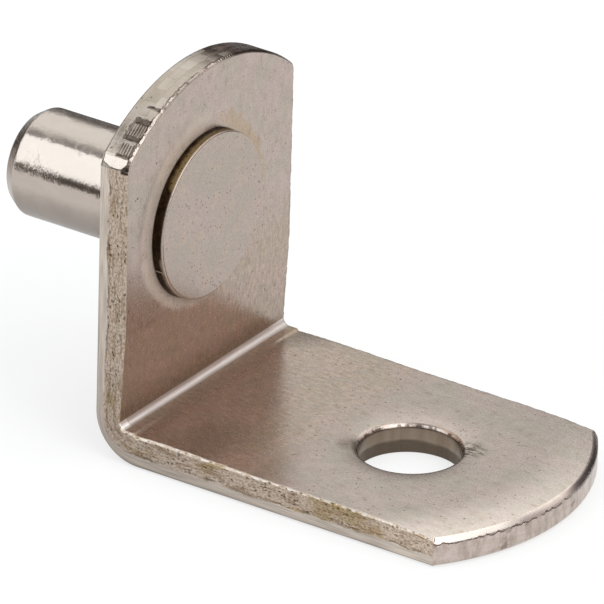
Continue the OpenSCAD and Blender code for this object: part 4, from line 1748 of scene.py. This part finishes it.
def head_wall_grime_and_shade(tree, place):
    """Where the head's side is, and its colour. Grime and painted shade make it black-brown on the near side,
    next to the strip, and reach least high below. Past it, further up, the metal is stained olive. A thin
    bright nick crosses it."""
    x, y, z = parts_of(tree, place)
    height = ease(tree, x, SHEET_T, HEAD_FACE_X, 0.0, 1.0)
    uneven = patches(tree, place, 4.0, 0.3, 0.7, -0.09, 0.09, roughness=0.7)
    reach = ease(tree, within(tree, z, -0.3, 2.0, 0.7), 0, 1, ease(tree, z, 0.5, 2.0, 0.78, 0.45), 1.12)
    # Black-brown next to the strip: grime and painted shade.
    black = fade(tree, minus(tree, plus(tree, height, uneven), reach), -0.32, 0.24)
    grime_and_shade = blend(tree, patches(tree, place, 3.0, 0.4, 0.6), SIDE_GRIME_SHADE_DARK, SIDE_GRIME_SHADE_LIGHT)
    stain = shaded(tree, blend(tree, ease(tree, z, 0.8, 2.2), STAIN_LOW, STAIN_HIGH),
                   (specks(tree, place, 6.0, 0.06, 0.6), STAIN_SPECK_TINT))
    off_nick = maths(tree, "ABSOLUTE", minus(tree, z, times(tree, y, NICK_SLOPE)))
    nick = times(tree, fade(tree, off_nick, 0.025, 0.05), fade(tree, y, -3.0, -2.5))
    stained = blend(tree, nick, blend(tree, black, stain, grime_and_shade), NICK_COLOUR)
    return times(tree, attribute(tree, "head_wall"), fade(tree, height, 0.90, 0.99)), stained


print("the head's side is", round(HEAD_FACE_X - SHEET_T, 2), "mm tall")


# %% Face of the head
HEAD_OLIVE, HEAD_PINK = (0.410, 0.352, 0.304, 1), (0.432, 0.358, 0.318, 1)
CREAM_TINT = (1.10, 1.05, 0.97, 1)
HEAD_PIT_TINT = (0.42, 0.36, 0.33, 1)


def head_face(tree, place):
    """The head's satin face: colour, roughness and height, made as the strip's faces are, with cream flecks
    where the plate is thick."""
    grain = cloud(tree, place, 11.0, roughness=0.75)
    cream = times(tree, patches(tree, place, 1.1, 0.52, 0.60, detail=4.0, roughness=0.7),
                  patches(tree, place, 6.0, 0.4, 0.6, detail=2.0))
    pits = pitted(tree, place, patches(tree, place, 0.55, 0.44, 0.58, 0.05, 0.45, detail=2.0), 0.2)
    colour = shaded(
        tree, blend(tree, patches(tree, place, 0.6, 0.38, 0.62), HEAD_OLIVE, HEAD_PINK),
        (1.0, grey(tree, ease(tree, grain, 0.25, 0.75, 0.85, 1.12))),
        (cream, CREAM_TINT),
        (times(tree, pits, 0.75), HEAD_PIT_TINT))
    return colour, ease(tree, grain, 0.25, 0.75, 0.17, 0.25), satin_height(tree, grain, pits)


print("head's face: olive", HEAD_OLIVE[:3], "to pink", HEAD_PINK[:3])


# %% Pin finish
SHANK_DARK, SHANK_LIGHT = (0.475, 0.415, 0.37, 1), (0.505, 0.44, 0.395, 1)
SPOT_TINT = (0.45, 0.38, 0.33, 1)
# Painted shade on the chamfer's upper side.
CHAMFER_SHADE_TINT = (0.42, 0.38, 0.34, 1)
CHAMFER_MARGIN = 0.06


def pin_nickel():
    """The pin's finish. Its shank has rings round it, deeper in some places than in others, spots from
    handling, and a chamfer that is painted darker on top, a painted shade."""
    material, tree = new_metal("pin_nickel")
    place = object_place(tree)
    x, y, z = parts_of(tree, place)
    wear = cloud(tree, place, 0.8)
    rings = cloud(tree, place, 2.0, 2.0, (9, 1.6, 1.6), 0.7)
    rings = times(tree, rings, ease(tree, wear, 0.4, 0.6, 0.6, 1.4))
    spots = specks(tree, scaled(tree, place, (0.7, 1, 1)), 1.6, 0.09, 0.35)
    chamfer_ends = PIN_END_X + CHAMFER_MARGIN, PIN_END_X + CHAMFER_LENGTH - CHAMFER_MARGIN
    on_chamfer = within(tree, x, *chamfer_ends, 0.03)
    # The chamfer's upper side is painted shade.
    colour = shaded(
        tree, blend(tree, ease(tree, wear, 0.35, 0.65), SHANK_DARK, SHANK_LIGHT),
        (times(tree, spots, 0.45), SPOT_TINT),
        (times(tree, on_chamfer, ease(tree, z, -0.6, 1.0)), CHAMFER_SHADE_TINT))
    on_head = ease(tree, x, SHEET_T - 0.05, SHEET_T)
    head_colour, head_roughness, head_height = head_face(tree, place)
    colour = blend(tree, on_head, colour, head_colour)
    on_side, grimy_and_shaded = head_wall_grime_and_shade(tree, place)
    colour = blend(tree, on_side, colour, grimy_and_shaded)
    roughness = ease(tree, on_head, 0, 1, ease(tree, wear, 0.3, 0.7, 0.10, 0.15), head_roughness)
    roughness = plus(tree, roughness, times(tree, attribute(tree, "head_wall"), 0.25))
    height = ease(tree, on_head, 0, 1, times(tree, rings, 2.8), head_height)
    finish_metal(material, colour, roughness, height)
    return material


pin.data.materials.append(pin_nickel())
print("pin finish has", len(pin.data.materials[0].node_tree.nodes), "nodes")

# %% [markdown]
# ## Riding on the body
#
# Each piece rides on the object's one body and stands for its solid, which is hidden.

# %% Ride and replace
for piece, node, slot in ((strip, "bracket", "strip_nickel"), (pin, "pin", "pin_nickel")):
    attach(piece, "root")
    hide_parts(node)
bpy.context.view_layer.update()
